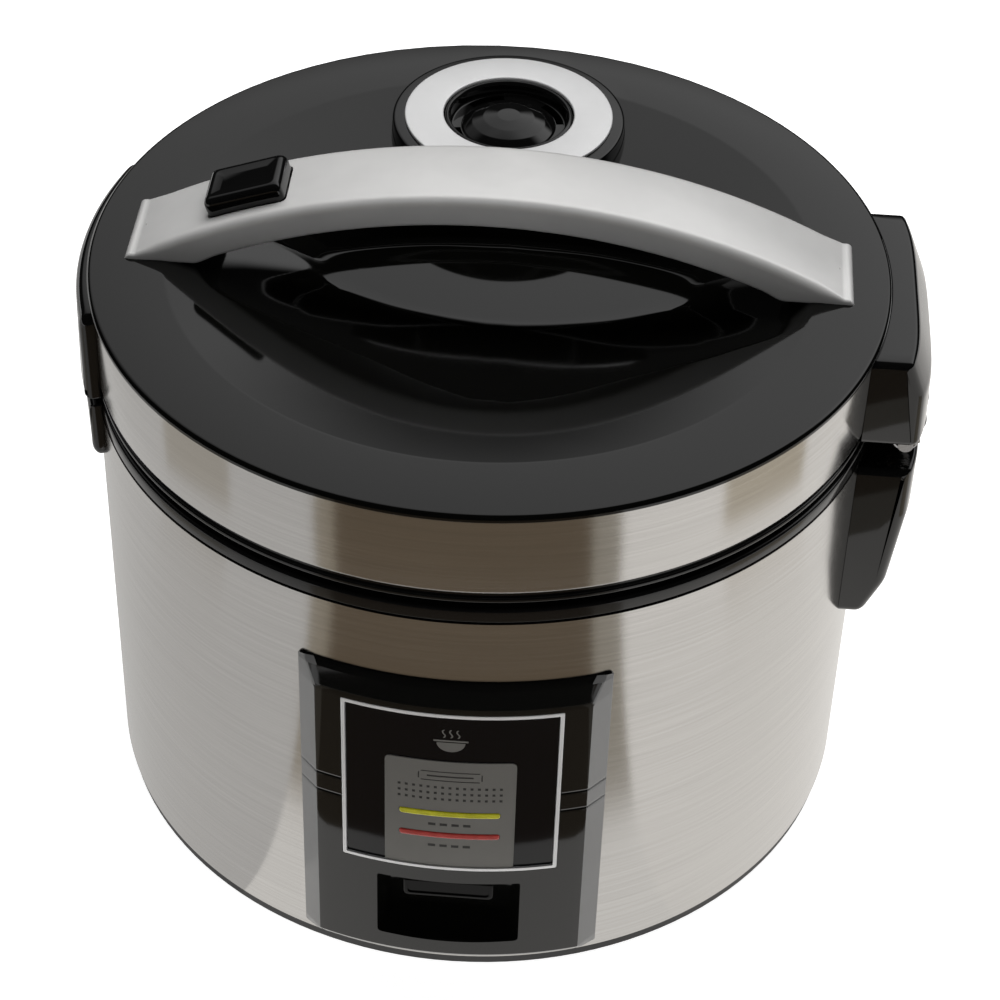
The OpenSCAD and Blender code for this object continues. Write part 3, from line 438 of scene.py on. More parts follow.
class Look(Enum):
    """Every finish on the cooker, by the record's slot."""

    drum_steel = BrushedSteel("drum_steel", (0.60, 0.59, 0.575))
    gloss_black = Plastic("gloss_black", (0.0025, 0.0025, 0.0025), 0.06)
    lid_gloss = Plastic("lid_gloss", (0.0012, 0.0012, 0.001), 0.055)
    satin_black = Plastic("satin_black", (0.003, 0.003, 0.003), 0.13, 0.003)
    matte_black = Plastic("matte_black", (0.016, 0.016, 0.017), 0.5, 0.02, 1.6)
    foot_rubber = Plastic("foot_rubber", (0.018, 0.018, 0.018), 0.72, 0.02, 1.2, 0.3)
    screw_steel = Metal("screw_steel", (0.62, 0.61, 0.59), 0.24)
    galvanised_sheet = Metal("galvanised_sheet", (0.52, 0.53, 0.54), 0.36, 0.008, spangle=0.16)
    cast_aluminium = Metal("cast_aluminium", (0.6, 0.6, 0.6), 0.34, 0.02, rings=3.2)
    element_steel = Metal("element_steel", (0.16, 0.15, 0.15), 0.48, 0.02, stain=0.2)
    bright_sheet = Metal("bright_sheet", (0.78, 0.78, 0.78), 0.22, 0.006, rings=1.5, stain=0.04)
    spring_steel = Metal("spring_steel", (0.42, 0.42, 0.43), 0.26)
    cream_plastic = Plastic("cream_plastic", (0.62, 0.56, 0.44), 0.38, 0.008)
    board_green = Plastic("board_green", (0.02, 0.13, 0.05), 0.3, 0.01, 3.0)
    lamp_glass = Lens("lamp_glass", (0.9, 0.55, 0.22), 0.05, 0.7)
    lens_yellow = Lens("lens_yellow", (0.44, 0.42, 0.01), 0.2, 0.02)
    lens_red = Lens("lens_red", (0.36, 0.030, 0.025), 0.2, 0.02)
    silver_trim = Plastic("silver_trim", (0.70, 0.70, 0.70), 0.3, 0.004, 3.0, metallic=0.3)
    handle_silver = Plastic("handle_silver", (0.68, 0.675, 0.665), 0.33, 0.006, 2.6, metallic=0.3)
    silver_card = Plastic("silver_card", (0.13, 0.126, 0.116), 0.3, 0.004, 3.0, specular=0.3, metallic=0.15)
    panel_navy = Plastic("panel_navy", (0.0012, 0.0013, 0.0022), 0.06, specular=0.3)
    wire_insulation = Plastic("wire_insulation", (0.32, 0.03, 0.02), 0.45, 0.006)
    pin_brass = Metal("pin_brass", (0.72, 0.56, 0.28), 0.22)
    pot_coating = Metal("pot_coating", (0.52, 0.52, 0.53), 0.3, 0.008, rings=2.4, stain=0.05)
    seal_silicone = Plastic("seal_silicone", (0.62, 0.62, 0.59), 0.42, 0.006, 1.2)
    panel_gloss = Plastic("gloss_black.panel", (0.004, 0.004, 0.0035), 0.06)
    # the panel's slanted sides are gloss black; this grey copy of it is a painted reflection of the bright
    # studio side, not a colour of their own
    panel_bevel = Plastic("gloss_black.bevel", (0.16, 0.16, 0.158), 0.2)
    paddle_black = Plastic("gloss_black.paddle", (0.002, 0.002, 0.002), 0.12, specular=0.12)
    print_black = Plastic("silver_card.print", (0.008, 0.008, 0.008), 0.4, 0.002, 3.0)

    def of(self) -> bpy.types.Material:
        """This finish's material."""
        return self.value.material()

    @property
    def slot(self) -> str:
        """The record's slot that this finish belongs to."""
        return self.value.name.split(".")[0]


# ---------- shapes ----------

def at_angle(degrees: float, radius: float) -> Flat:
    """The place at an angle from the front (-Y), turning towards +X, and a distance from the drum's axis."""
    a = math.radians(degrees)
    return radius * math.sin(a), -radius * math.cos(a)


def in_metres(place: Point) -> Point:
    """A place about the drum's axis, in the scene's metres."""
    return (place[0] + AXIS_X) * MM, place[1] * MM, place[2] * MM


def quarter(steps: int) -> list[float]:
    """Angles from zero to a quarter turn."""
    return [math.pi / 2 * k / steps for k in range(steps + 1)]


def bend(first: Vector, corner: Vector, last: Vector, t: float) -> Vector:
    """The place at share t of a bend from first to last that heads for the corner."""
    return first * (1 - t) ** 2 + corner * 2 * t * (1 - t) + last * t ** 2


def fillet(corners: Sequence[Flat], radii: float | Sequence[float], steps: int = 4,
           closed: bool = True) -> list[Flat]:
    """Rounds the corners of a flat outline.

    Args:
        corners: the outline's corners.
        radii: one radius for all corners, or one each; 0 keeps a corner.
        steps: pieces in each rounded corner.
        closed: whether the last corner joins the first.
    Returns:
        The rounded outline.
    """
    count = len(corners)
    each = list(radii) if isinstance(radii, (list, tuple)) else [radii] * count
    rounded: list[Flat] = []
    for i, (corner, radius) in enumerate(zip(corners, each)):
        at = Vector(corner)
        if radius <= 0 or (not closed and i in (0, count - 1)):
            rounded.append(tuple(corner))
            continue
        back, ahead = Vector(corners[i - 1]) - at, Vector(corners[(i + 1) % count]) - at
        half = max(0.02, back.angle(ahead) / 2)
        reach = min(radius / math.tan(half), back.length * 0.49, ahead.length * 0.49)
        first, last = at + back.normalized() * reach, at + ahead.normalized() * reach
        rounded += [tuple(bend(first, at, last, k / steps)) for k in range(steps + 1)]
    return rounded


def smooth_line(points: Sequence[Sequence[float]], steps: int, closed: bool = False) -> list[Vector]:
    """A smooth curve through the points.

    Args:
        points: what it passes through.
        steps: pieces between two points.
        closed: whether the last point joins the first.
    Returns:
        The curve's points.
    """
    p = [Vector(q) for q in points]
    count = len(p)
    curve: list[Vector] = []
    for i in range(count if closed else count - 1):
        if closed:
            a, b, c, d = (p[(i + k) % count] for k in (-1, 0, 1, 2))
        else:
            b, c = p[i], p[i + 1]
            a = p[i - 1] if i else b * 2 - c
            d = p[i + 2] if i + 2 < count else c * 2 - b
        for k in range(steps):
            t = k / steps
            curve.append(0.5 * (2 * b + (c - a) * t + (2 * a - 5 * b + 4 * c - d) * t * t
                                + (3 * b - a - 3 * c + d) * t ** 3))
    if not closed:
        curve.append(p[-1])
    return curve


class Shape:
    """Points and faces of a closed form, in millimetres about the drum's axis."""

    def __init__(self) -> None:
        """Starts empty."""
        self.points: list[Point] = []
        self.faces: list[tuple[int, ...]] = []

    def add(self, points: Iterable[Sequence[float]], faces: Iterable[Sequence[int]]) -> "Shape":
        """Adds points and the faces between them."""
        start = len(self.points)
        self.points += [tuple(p) for p in points]
        self.faces += [tuple(start + i for i in f) for f in faces]
        return self

    def loft(self, loops: Sequence[Sequence[Sequence[float]]], around: bool = True,
             ends: bool = False, tube: bool = False) -> "Shape":
        """Skins a row of loops that have as many points each.

        Args:
            loops: the loops.
            around: whether each loop is closed.
            ends: whether the first and last loop are filled.
            tube: whether the last loop joins the first.
        Returns:
            This shape.
        """
        size, rows = len(loops[0]), len(loops)
        faces: list[tuple[int, ...]] = []
        for r in range(rows if tube else rows - 1):
            s = (r + 1) % rows
            for i in range(size if around else size - 1):
                j = (i + 1) % size
                faces.append((r * size + i, r * size + j, s * size + j, s * size + i))
        if ends:
            faces.append(tuple(reversed(range(size))))
            faces.append(tuple((rows - 1) * size + i for i in range(size)))
        return self.add([p for loop in loops for p in loop], faces)

    def lathe(self, profile: Sequence[Flat], centre: Flat = (0.0, 0.0), steps: int = 192) -> "Shape":
        """Turns a closed outline of (radius, height) about an upright axis."""
        loops = []
        for k in range(steps):
            a = 2 * math.pi * k / steps
            loops.append([(centre[0] + r * math.cos(a), centre[1] + r * math.sin(a), z) for r, z in profile])
        return self.loft(loops, tube=True)

    def sector(self, profile: Sequence[Flat], middle: float, half: float, step: float = 1.0) -> "Shape":
        """Turns a closed outline of (radius, height) through part of a circle about the drum's axis.

        Args:
            profile: the outline.
            middle: direction of the middle, in degrees from the front.
            half: half of the angle.
            step: largest angle of one piece.
        Returns:
            This shape.
        """
        pieces = max(2, math.ceil(2 * half / step))
        loops = [[(*at_angle(middle - half + 2 * half * k / pieces, r), z) for r, z in profile]
                 for k in range(pieces + 1)]
        return self.loft(loops, ends=True)

    def prism(self, outline: Sequence[Flat], place: Callable[[float, float, float], Sequence[float]],
              low: float, high: float, rounding: float = 0.0, steps: int = 3, levels: int = 1) -> "Shape":
        """Raises a flat outline between two levels, with rounded rims.

        Args:
            outline: the outline in u and v.
            place: gives the place of a point u, v at a level.
            low: lower level.
            high: higher level.
            rounding: radius of the rims.
            steps: pieces in each rounded rim.
            levels: pieces between the rims.
        Returns:
            This shape.
        """
        flat = [Vector(p) for p in outline]
        count = len(flat)
        area = sum(flat[i].x * flat[(i + 1) % count].y - flat[(i + 1) % count].x * flat[i].y
                   for i in range(count))
        inward = []
        for i in range(count):
            a = (flat[i] - flat[i - 1]).normalized()
            b = (flat[(i + 1) % count] - flat[i]).normalized()
            turn = Vector((-(a + b).y, (a + b).x)).normalized() * (1 if area > 0 else -1)
            inward.append(turn / max(0.5, turn.dot(Vector((-a.y, a.x)) * (1 if area > 0 else -1))))
        rows: list[tuple[float, float]] = []
        if rounding:
            rows += [(rounding * (1 - math.sin(b)), low + rounding * (1 - math.cos(b))) for b in quarter(steps)]
        else:
            rows.append((0.0, low))
        far = [(inset, low + high - level) for inset, level in reversed(rows)]
        start, end = rows[-1][1], far[0][1]
        rows += [(0.0, start + (end - start) * k / levels) for k in range(1, levels)] + far
        loops = [[place(*(p + n * inset), level) for p, n in zip(flat, inward)] for inset, level in rows]
        return self.loft(loops, ends=True)

    def box(self, x: Flat, y: Flat, z: Flat, rounding: float = 0.0, corner: float = 0.0) -> "Shape":
        """A box with rounded upright corners and rims."""
        outline = [(x[0], y[0]), (x[1], y[0]), (x[1], y[1]), (x[0], y[1])]
        return self.prism(fillet(outline, corner, 4) if corner else outline,
                          lambda u, v, w: (u, v, w), z[0], z[1], rounding)

    def moved(self, matrix: Matrix) -> "Shape":
        """A copy turned and shifted by a matrix in millimetres."""
        new = Shape()
        new.faces = list(self.faces)
        new.points = [tuple(matrix @ Vector(p)) for p in self.points]
        return new

    def object(self, name: str) -> bpy.types.Object:
        """The shape as a Blender object in metres, at the origin."""
        mesh = bpy.data.meshes.new(name)
        mesh.from_pydata([in_metres(p) for p in self.points], [], self.faces)
        build = bmesh.new()
        build.from_mesh(mesh)
        bmesh.ops.remove_doubles(build, verts=build.verts, dist=1e-6)
        bmesh.ops.dissolve_degenerate(build, edges=build.edges, dist=1e-7)
        bmesh.ops.recalc_face_normals(build, faces=build.faces)
        build.to_mesh(mesh)
        build.free()
        made = bpy.data.objects.new(name, mesh)
        bpy.context.scene.collection.objects.link(made)
        return made

    def alone(self, name: str) -> bpy.types.Object:
        """The shape as a Blender object about its own origin, for setting at several places."""
        return self.moved(Matrix.Translation((-AXIS_X, 0, 0))).object(name)


def applied(piece: bpy.types.Object) -> bpy.types.Object:
    """Makes a piece's modifiers part of its mesh."""
    ready = piece.evaluated_get(bpy.context.evaluated_depsgraph_get())
    mesh = bpy.data.meshes.new_from_object(ready)
    piece.modifiers.clear()
    old, piece.data = piece.data, mesh
    mesh.name = piece.name
    bpy.data.meshes.remove(old)
    return piece


def cut(piece: bpy.types.Object, *tools: Shape, how: str = "DIFFERENCE") -> bpy.types.Object:
    """Cuts shapes out of a piece, or joins them to it.

    Args:
        piece: what is cut.
        tools: the shapes, which may overlap each other.
        how: Blender's name for the operation.
    Returns:
        The same piece.
    """
    for tool in tools:
        cutter = tool.object("tool")
        change = piece.modifiers.new("cut", "BOOLEAN")
        change.object, change.operation, change.solver = cutter, how, "EXACT"
        applied(piece)
        mesh = cutter.data
        bpy.data.objects.remove(cutter)
        bpy.data.meshes.remove(mesh)
    return piece


def finish_piece(piece: bpy.types.Object, body: str, look: "Look | Sequence[Look]", *nodes: str,
                 crisp: float = 32.0) -> bpy.types.Object:
    """Dresses a piece, hangs it on its body and says what it stands for.

    Args:
        piece: the piece.
        body: the CAD body that it rides on.
        look: its finish, or several in the order of its material slots.
        nodes: the CAD nodes that it replaces.
        crisp: edges that turn by more than this angle stay sharp.
    Returns:
        The same piece.
    """
    looks = [look] if isinstance(look, Look) else list(look)
    piece.data.materials.clear()
    for each in looks:
        piece.data.materials.append(each.of())
    piece.data.shade_smooth()
    piece.data.set_sharp_from_angle(angle=math.radians(crisp))
    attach(piece, body)
    looks[0].slot
    if nodes:
        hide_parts(*nodes)
    log.info("%s on %s, %d faces%s", piece.name, body, len(piece.data.polygons),
             f", for {', '.join(nodes)}" if nodes else "")
    return piece


# ---------- what repeats ----------

class Pattern(Graph):
    """A Geometry Nodes tree that repeats or sweeps a form, with named sizes."""

    def __init__(self, name: str, sizes: dict[str, float | int]) -> None:
        """Makes the tree with its inputs.

        Args:
            name: the tree's name.
            sizes: each input's name and value; a whole number makes a whole-number input.
        """
        tree = bpy.data.node_groups.new(name, "GeometryNodeTree")
        super().__init__(tree)
        tree.interface.new_socket("Geometry", in_out="INPUT", socket_type="NodeSocketGeometry")
        self.ids: dict[str, str] = {}
        self.sizes = sizes
        for label, value in sizes.items():
            kind = "NodeSocketInt" if isinstance(value, int) else "NodeSocketFloat"
            made = tree.interface.new_socket(label, in_out="INPUT", socket_type=kind)
            self.ids[label] = made.identifier
        tree.interface.new_socket("Geometry", in_out="OUTPUT", socket_type="NodeSocketGeometry")
        self.way_in = tree.nodes.new("NodeGroupInput")

    def size(self, label: str) -> Value:
        """The input of that name."""
        return Value(self, self.way_in.outputs[label])

    def form(self) -> Value:
        """The mesh that the tree is given."""
        return Value(self, self.way_in.outputs["Geometry"])

    def close(self, geometry: Value, look: "Look") -> None:
        """Realizes the result, gives it a finish and ends the tree."""
        real = self.node("GeometryNodeRealizeInstances", inputs={0: geometry})
        done = self.node("GeometryNodeSetMaterial", inputs={"Geometry": real, "Material": look.of()})
        self.node("NodeGroupOutput", inputs={0: done})

    def run(self, piece: bpy.types.Object) -> bpy.types.Object:
        """Applies the tree to a piece, with its sizes in metres, degrees or counts."""
        change = piece.modifiers.new(self.tree.name, "NODES")
        change.node_group = self.tree
        for label, value in self.sizes.items():
            change[self.ids[label]] = value
        return applied(piece)


def repeated(piece: bpy.types.Object, spots: Sequence[tuple[Point, Point]], look: "Look") -> bpy.types.Object:
    """Sets a piece at each of several places.

    Args:
        piece: one of them, about its own origin.
        spots: place and turn in degrees of each.
        look: their finish.
    Returns:
        The piece, now all of them.
    """
    pattern = Pattern(f"{piece.name}_pattern", {"Size": 1.0})
    made: list[Value] = []
    for place, turn in spots:
        made.append(pattern.node("GeometryNodeTransform", inputs={
            "Geometry": pattern.form(), "Translation": in_metres(place),
            "Rotation": tuple(math.radians(t) for t in turn),
            "Scale": pattern.vector(*[pattern.size("Size")] * 3)}))
    joined = pattern.node("GeometryNodeJoinGeometry")
    for one in reversed(made):
        pattern.tree.links.new(one.socket, joined.socket.node.inputs[0])
    pattern.close(joined, look)
    return pattern.run(piece)


def ringed(name: str, form: Shape, count: int, radius: float, centre: Point, look: "Look",
           start: float = 0.0) -> bpy.types.Object:
    """Sets a form on the points of a circle, each turned to face outwards.

    Args:
        name: name of the piece.
        form: one of them, about its own origin, facing +X.
        count: how many.
        radius: radius of the circle.
        centre: centre of the circle.
        look: their finish.
        start: direction of the first, in degrees about +Z.
    Returns:
        The piece.
    """
    pattern = Pattern(f"{name}_pattern", {"Count": count, "Radius": radius * MM, "Start": math.radians(start)})
    ring = pattern.node("GeometryNodeMeshCircle", inputs={"Vertices": pattern.size("Count"),
                                                          "Radius": pattern.size("Radius")})
    place = pattern.node("GeometryNodeInputPosition")
    x, y, _ = pattern.parts(place)
    facing = pattern.vector(0.0, 0.0, pattern.node("ShaderNodeMath", {"operation": "ARCTAN2"}, {0: y, 1: x}))
    many = pattern.node("GeometryNodeInstanceOnPoints", inputs={
        "Points": ring, "Instance": pattern.form(), "Rotation": facing})
    set_down = pattern.node("GeometryNodeTransform", inputs={
        "Geometry": many, "Translation": in_metres(centre),
        "Rotation": pattern.vector(0.0, 0.0, pattern.size("Start"))})
    pattern.close(set_down, look)
    return pattern.run(form.alone(name))


@dataclass(frozen=True)
class Coil:
    """A helical spring of round wire."""

    radius: float
    wire: float
    height: float
    turns: float
    place: Point
    turn: Point = (0.0, 0.0, 0.0)
    per_turn: int = 28
    wire_sides: int = 10

    def build(self, name: str, look: "Look") -> bpy.types.Object:
        """Sweeps the wire along its helix."""
        pattern = Pattern(f"{name}_pattern", {"Radius": self.radius * MM, "Wire": self.wire * MM,
                                              "Height": (self.height - 2 * self.wire) * MM,
                                              "Turns": float(self.turns), "Steps": self.per_turn})
        helix = pattern.node("GeometryNodeCurveSpiral", inputs={
            "Resolution": pattern.size("Steps"), "Rotations": pattern.size("Turns"),
            "Start Radius": pattern.size("Radius"), "End Radius": pattern.size("Radius"),
            "Height": pattern.size("Height")})
        section = pattern.node("GeometryNodeCurvePrimitiveCircle", {"mode": "RADIUS"},
                               {"Resolution": self.wire_sides, "Radius": pattern.size("Wire")})
        wire = pattern.node("GeometryNodeCurveToMesh", inputs={
            "Curve": helix, "Profile Curve": section, "Fill Caps": True})
        lift = pattern.node("GeometryNodeTransform",
                            inputs={"Geometry": wire, "Translation": (0.0, 0.0, self.wire * MM)})
        put = pattern.node("GeometryNodeTransform", inputs={
            "Geometry": lift, "Translation": in_metres(self.place),
            "Rotation": tuple(math.radians(t) for t in self.turn)})
        pattern.close(put, look)
        start = Shape().add([(0, 0, 0)], [])
        return pattern.run(start.object(name))


# ---------- sub-assemblies ----------

@dataclass
class Drum:
    """The steel shell, the rubber feet under it and the collar on top of it."""

    open_half_deg: float = 16.0
    front_openings: tuple[tuple[float, float, float], ...] = ((13.1, 18.5, 53.5), (13.0, 58.7, 126.6))
    back_opening: tuple[float, float, float] = (7.0, 28.0, 52.0)
    collar_inner_r: float = 112.2
    seat_z: float = 166.4
    slot_x: Flat = (-132.8, -120.3)
    slot_half: float = 10.5
    level_step: float = 12.0
    angle_step: float = 1.5
    foot_ring: float = 102.0

    def shell(self) -> bpy.types.Object:
        """The brushed shell: one wall with the openings that the panel and inlet cover."""
        levels = sorted({SIZE.shell_low, SIZE.shell_top, *self.back_opening[1:],
                         *(z for _, a, b in self.front_openings for z in (a, b)),
                         *(SIZE.shell_low + self.level_step * k for k in range(1, 13))})
        back_half, back_low, back_high = self.back_opening
        edges = {self.open_half_deg, *(h for h, _, _ in self.front_openings), back_half}
        angles = sorted({k * self.angle_step for k in range(240)} | {180 + back_half, 180 - back_half}
                        | {h % 360 for h in edges} | {-h % 360 for h in edges})
        count, rows = len(angles), len(levels)

        def is_open(i: int, j: int) -> bool:
            """Whether the cell from angle i and level j is cut away."""
            a = (angles[i] + (angles[(i + 1) % count] if i + 1 < count else 360.0)) / 2
            z = (levels[j] + levels[j + 1]) / 2
            front = min(a, 360 - a)
            back = abs(a - 180)
            return any(front < h and low < z < high for h, low, high in self.front_openings) or (
                back < back_half and back_low < z < back_high)

        shape = Shape()
        points = [(*at_angle(a, SIZE.drum_r - inset), z)
                  for inset in (0.0, SIZE.sheet) for z in levels for a in angles]
        faces: list[tuple[int, ...]] = []
        inner = count * rows
        for j in range(rows - 1):
            for i in range(count):
                if is_open(i, j):
                    continue
                k = (i + 1) % count
                a, b, c, d = j * count + i, j * count + k, (j + 1) * count + k, (j + 1) * count + i
                faces += [(a, b, c, d), (inner + d, inner + c, inner + b, inner + a)]
                if is_open(i - 1, j):
                    faces.append((d, a, inner + a, inner + d)[::-1])
                if is_open(k, j):
                    faces.append((b, c, inner + c, inner + b)[::-1])
                if j == 0 or is_open(i, j - 1):
                    faces.append((a, b, inner + b, inner + a)[::-1])
                if j == rows - 2 or is_open(i, j + 1):
                    faces.append((c, d, inner + d, inner + c)[::-1])
        piece = shape.add(points, faces).object("drum_shell")
        return finish_piece(piece, "base", Look.drum_steel, "outer_shell")

    def collar(self) -> bpy.types.Object:
        """The collar that the pot's rim rests in, with a rounded bead outside and a slot for the latch."""
        r, top, shell = SIZE.drum_r, SIZE.collar_top, SIZE.shell_top
        inner, seat = self.collar_inner_r, self.seat_z
        profile = fillet([
            (inner, seat), (inner, seat - 16), (inner + 2, seat - 16), (inner + 2, seat - 3), (r - 3, seat - 3),
            (r - 3, shell - 8), (r - 0.8, shell - 8), (r - 0.8, shell + 0.9), (r - 0.1, shell + 0.9),
            (r - 0.1, top - 0.1), (119.4, top), (118.4, seat)],
            [0.5, 0.8, 0.8, 0.3, 0.3, 0.3, 0.3, 0.2, 0.7, 1.5, 0.9, 0.6], 4)
        piece = Shape().lathe(profile, steps=DRUM_STEPS).object("pot_collar")
        cut(piece, Shape().box(self.slot_x, (-self.slot_half, self.slot_half), (self.seat_z - 18, top + 1)))
        return finish_piece(piece, "base", Look.satin_black, "upper_collar")

    def feet(self) -> bpy.types.Object:
        """Four rubber feet with a ribbed side and a dished sole."""
        profile = fillet([(0, 0.5), (7.0, 0.5), (7.6, 0.0), (10.0, 0.0), (11.0, 3.9), (9.6, 4.0), (3.0, 4.0),
                          (3.0, 10.2), (3.4, 10.8), (3.4, 13.0), (1.6, 15.4), (0, 15.4)],
                         [0, 0.2, 0.2, 0.6, 0.5, 0.2, 0.3, 0.3, 0.4, 0.8, 0.6, 0], 3)
        foot = Shape().lathe(profile, steps=40)
        piece = ringed("rubber_feet_four", foot, 4, self.foot_ring, (0, 0, 0), Look.foot_rubber, 45.0)
        return finish_piece(piece, "base", Look.foot_rubber, "rubber_feet")

    def build(self) -> None:
        """Builds and dresses the drum's pieces."""
        self.shell()
        self.collar()
        self.feet()


@dataclass
class LidRing:
    """The steel band round the lid and the black skirt that closes the seam under it."""

    latch_slot: tuple[float, float, float, float] = (-131.2, -120.8, -9.8, 9.8)
    skirt_inner_r: float = 120.0

    def band(self) -> bpy.types.Object:
        """The brushed band, its edges rolled in a hair."""
        r, low, top, t = SIZE.drum_r, SIZE.band_low, SIZE.band_top, SIZE.sheet
        profile = [(r - 0.35, low), (r - 0.12, low + 0.25), (r, low + 0.8), (r, top - 0.8),
                   (r - 0.12, top - 0.25), (r - 0.35, top), (r - t, top), (r - t, low)]
        piece = Shape().lathe(profile, steps=DRUM_STEPS).object("lid_band_ring")
        return finish_piece(piece, "lid", Look.drum_steel, "lid_band")

    def skirt(self) -> bpy.types.Object:
        """The skirt: a rounded bead at the seam and a recess above it."""
        r, z, band = SIZE.drum_r, SIZE.lid_low, SIZE.band_low
        inner = self.skirt_inner_r
        profile = fillet([
            (inner, z), (r - 1.8, z), (r - 0.3, z + 0.4), (r - 0.3, z + 1.9), (r - 1.7, z + 2.3),
            (r - 1.9, band - 0.5), (r - 0.8, band - 0.25), (r - 0.8, band + 8), (r - 3, band + 8),
            (r - 3, z + 2.4), (inner, z + 2.4)],
            [0.4, 0.6, 0.9, 0.9, 0.3, 0.3, 0.2, 0.3, 0.3, 0.3, 0.4], 4)
        piece = Shape().lathe(profile, steps=DRUM_STEPS).object("lid_seam_skirt")
        x0, x1, y0, y1 = self.latch_slot
        cut(piece, Shape().box((x0, x1), (y0, y1), (z - 1, band + 20)))
        return finish_piece(piece, "lid", Look.satin_black, "lid_skirt")

    def build(self) -> None:
        """Builds and dresses both rings."""
        self.band()
        self.skirt()


@dataclass
class LidTop:
    """The black cover: a flat rim, a shallow dish and the finger scoop under the handle."""

    rim_r: float = 107.8
    dish_slope: float = 0.14
    dish_in: float = 30.0
    wall: float = 2.4
    scoop_depth: float = 19.8
    scoop_shift: float = 5.0
    vent_r: float = 41.15
    edge_round: float = 1.3
    floor_round: float = 3.0
    rounds: int = 4
    rib_steps: int = 9
    halvings: int = 24
    middle_y: float = 0.03
    # matched points of the scoop's upper and lower outline, as shares of the drum's radius,
    # from the middle of the back to the middle of the front, and whether a crease runs between them
    ribs: tuple[tuple[Flat, Flat, bool], ...] = (
        ((0.00, 0.282), (0.00, 0.255), False), ((0.25, 0.270), (0.22, 0.240), False),
        ((0.50, 0.225), (0.42, 0.190), False), ((0.755, 0.085), (0.490, 0.135), True),
        ((0.785, -0.110), (0.490, 0.080), False), ((0.722, -0.245), (0.475, 0.050), False),
        ((0.545, -0.393), (0.430, 0.015), True), ((0.360, -0.530), (0.285, -0.045), False),
        ((0.200, -0.640), (0.150, -0.078), False), ((0.070, -0.692), (0.050, -0.092), False),
        ((0.000, -0.698), (0.000, -0.093), False))

    def top_z(self, x: float, y: float) -> float:
        """Height of the rim and the dish at a place."""
        r = math.hypot(x, y)
        return SIZE.rim_z - self.dish_slope * (self.rim_r - min(self.rim_r, max(self.dish_in, r)))

    def outlines(self) -> tuple[list[Vector], list[Vector]]:
        """The scoop's upper and lower outlines, with as many points each."""
        upper: list[Vector] = []
        lower: list[Vector] = []
        tops = [Vector(t) for t, _, _ in self.ribs]
        floors = [Vector(f) for _, f, _ in self.ribs]
        run_starts = [0] + [i for i, rib in enumerate(self.ribs) if rib[2]] + [len(self.ribs) - 1]
        for first, last in zip(run_starts, run_starts[1:]):
            upper += smooth_line(tops[first:last + 1], self.rib_steps)[:-1]
            lower += smooth_line(floors[first:last + 1], self.rib_steps)[:-1]
        upper.append(tops[-1])
        lower.append(floors[-1])
        r = SIZE.drum_r
        sides = []
        for half in (upper, lower):
            right = [Vector((p.x * r, p.y * r)) for p in half]
            left = [Vector((-p.x, p.y)) for p in reversed(right[1:-1])]
            sides.append([p + Vector((self.scoop_shift, 0)) for p in right + left])
        return sides[0], sides[1]

    def cover(self) -> bpy.types.Object:
        """The cover as one closed shell, made of loops from the scoop's floor out to the lip and back."""
        upper, lower = self.outlines()
        floor_z = SIZE.rim_z - self.scoop_depth
        middle = Vector((self.scoop_shift, self.middle_y * SIZE.drum_r))
        loops: list[list[Vector]] = []
        edge: list[Vector] = []
        for top, low in zip(upper, lower):
            a, b = Vector((*low, floor_z)), Vector((*top, SIZE.rim_z + 0.2))
            t0, t1 = 0.5, 1.0
            for _ in range(self.halvings):
                t = (t0 + t1) / 2
                at = a.lerp(b, t)
                if at.z < self.top_z(at.x, at.y):
                    t0 = t
                else:
                    t1 = t
            at = a.lerp(b, t0)
            r = math.hypot(at.x, at.y)
            inside = self.rim_r - 1.5
            if r > inside:
                at = Vector((at.x * inside / r, at.y * inside / r, at.z))
            edge.append(Vector((at.x, at.y, self.top_z(at.x, at.y))))
        centre = Vector((*middle, floor_z))
        foot = [Vector((*low, floor_z)) for low in lower]
        loops.append([centre.copy() for _ in foot])
        loops += [[centre.lerp(f, s) for f in foot] for s in (0.4, 0.75)]
        for k in range(self.rounds + 1):
            t = k / self.rounds
            row = []
            for f, e in zip(foot, edge):
                back = f + (centre - f).normalized() * self.floor_round
                ahead = f.lerp(e, min(0.3, self.floor_round / (e - f).length))
                row.append(bend(back, f, ahead, t))
            loops.append(row)
        loops.append([f.lerp(e, 0.62) for f, e in zip(foot, edge)])
        for k in range(self.rounds + 1):
            t = k / self.rounds
            row = []
            for f, e in zip(foot, edge):
                back = e.lerp(f, min(0.25, self.edge_round / (e - f).length))
                out = Vector((e.x, e.y, 0)).normalized() * self.edge_round
                ahead = Vector((e.x + out.x, e.y + out.y, self.top_z(e.x + out.x, e.y + out.y)))
                row.append(bend(back, e, ahead, t))
            loops.append(row)
        last = loops[-1]
        directions = [Vector((p.x, p.y)).normalized() for p in last]
        inner_radii = [max(math.hypot(p.x, p.y), 0.1) for p in last]
        # across the dish, meeting its flat middle and its rim on loops of their own
        for share in (0.5, 1.0):
            row = []
            for d, r in zip(directions, inner_radii):
                to = r + (self.rim_r - 0.7 - r) * share
                row.append(Vector((d.x * to, d.y * to, self.top_z(d.x * to, d.y * to))))
            loops.append(row)
        outer = [(self.rim_r - 0.2, SIZE.rim_z - 0.04), (self.rim_r + 0.5, SIZE.rim_z)]
        r, z, band = SIZE.drum_r, SIZE.rim_z, SIZE.band_top
        lip = fillet([(self.rim_r + 8, z), (r - 0.2, z), (r + 0.75, band + 1.2), (r + 0.75, band + 0.1),
                      (r - 1.4, band + 0.1), (r - 1.4, band - 6), (r - 3.4, band - 6),
                      (r - 3.4, z - self.wall), (self.rim_r, z - self.wall)],
                     [0, 1.6, 0.8, 0.25, 0, 0, 0, 0, 0], 5, closed=False)
        for radius, level in outer + [(118.0, z)] + lip[1:]:
            loops.append([Vector((d.x * radius, d.y * radius, level)) for d in directions])
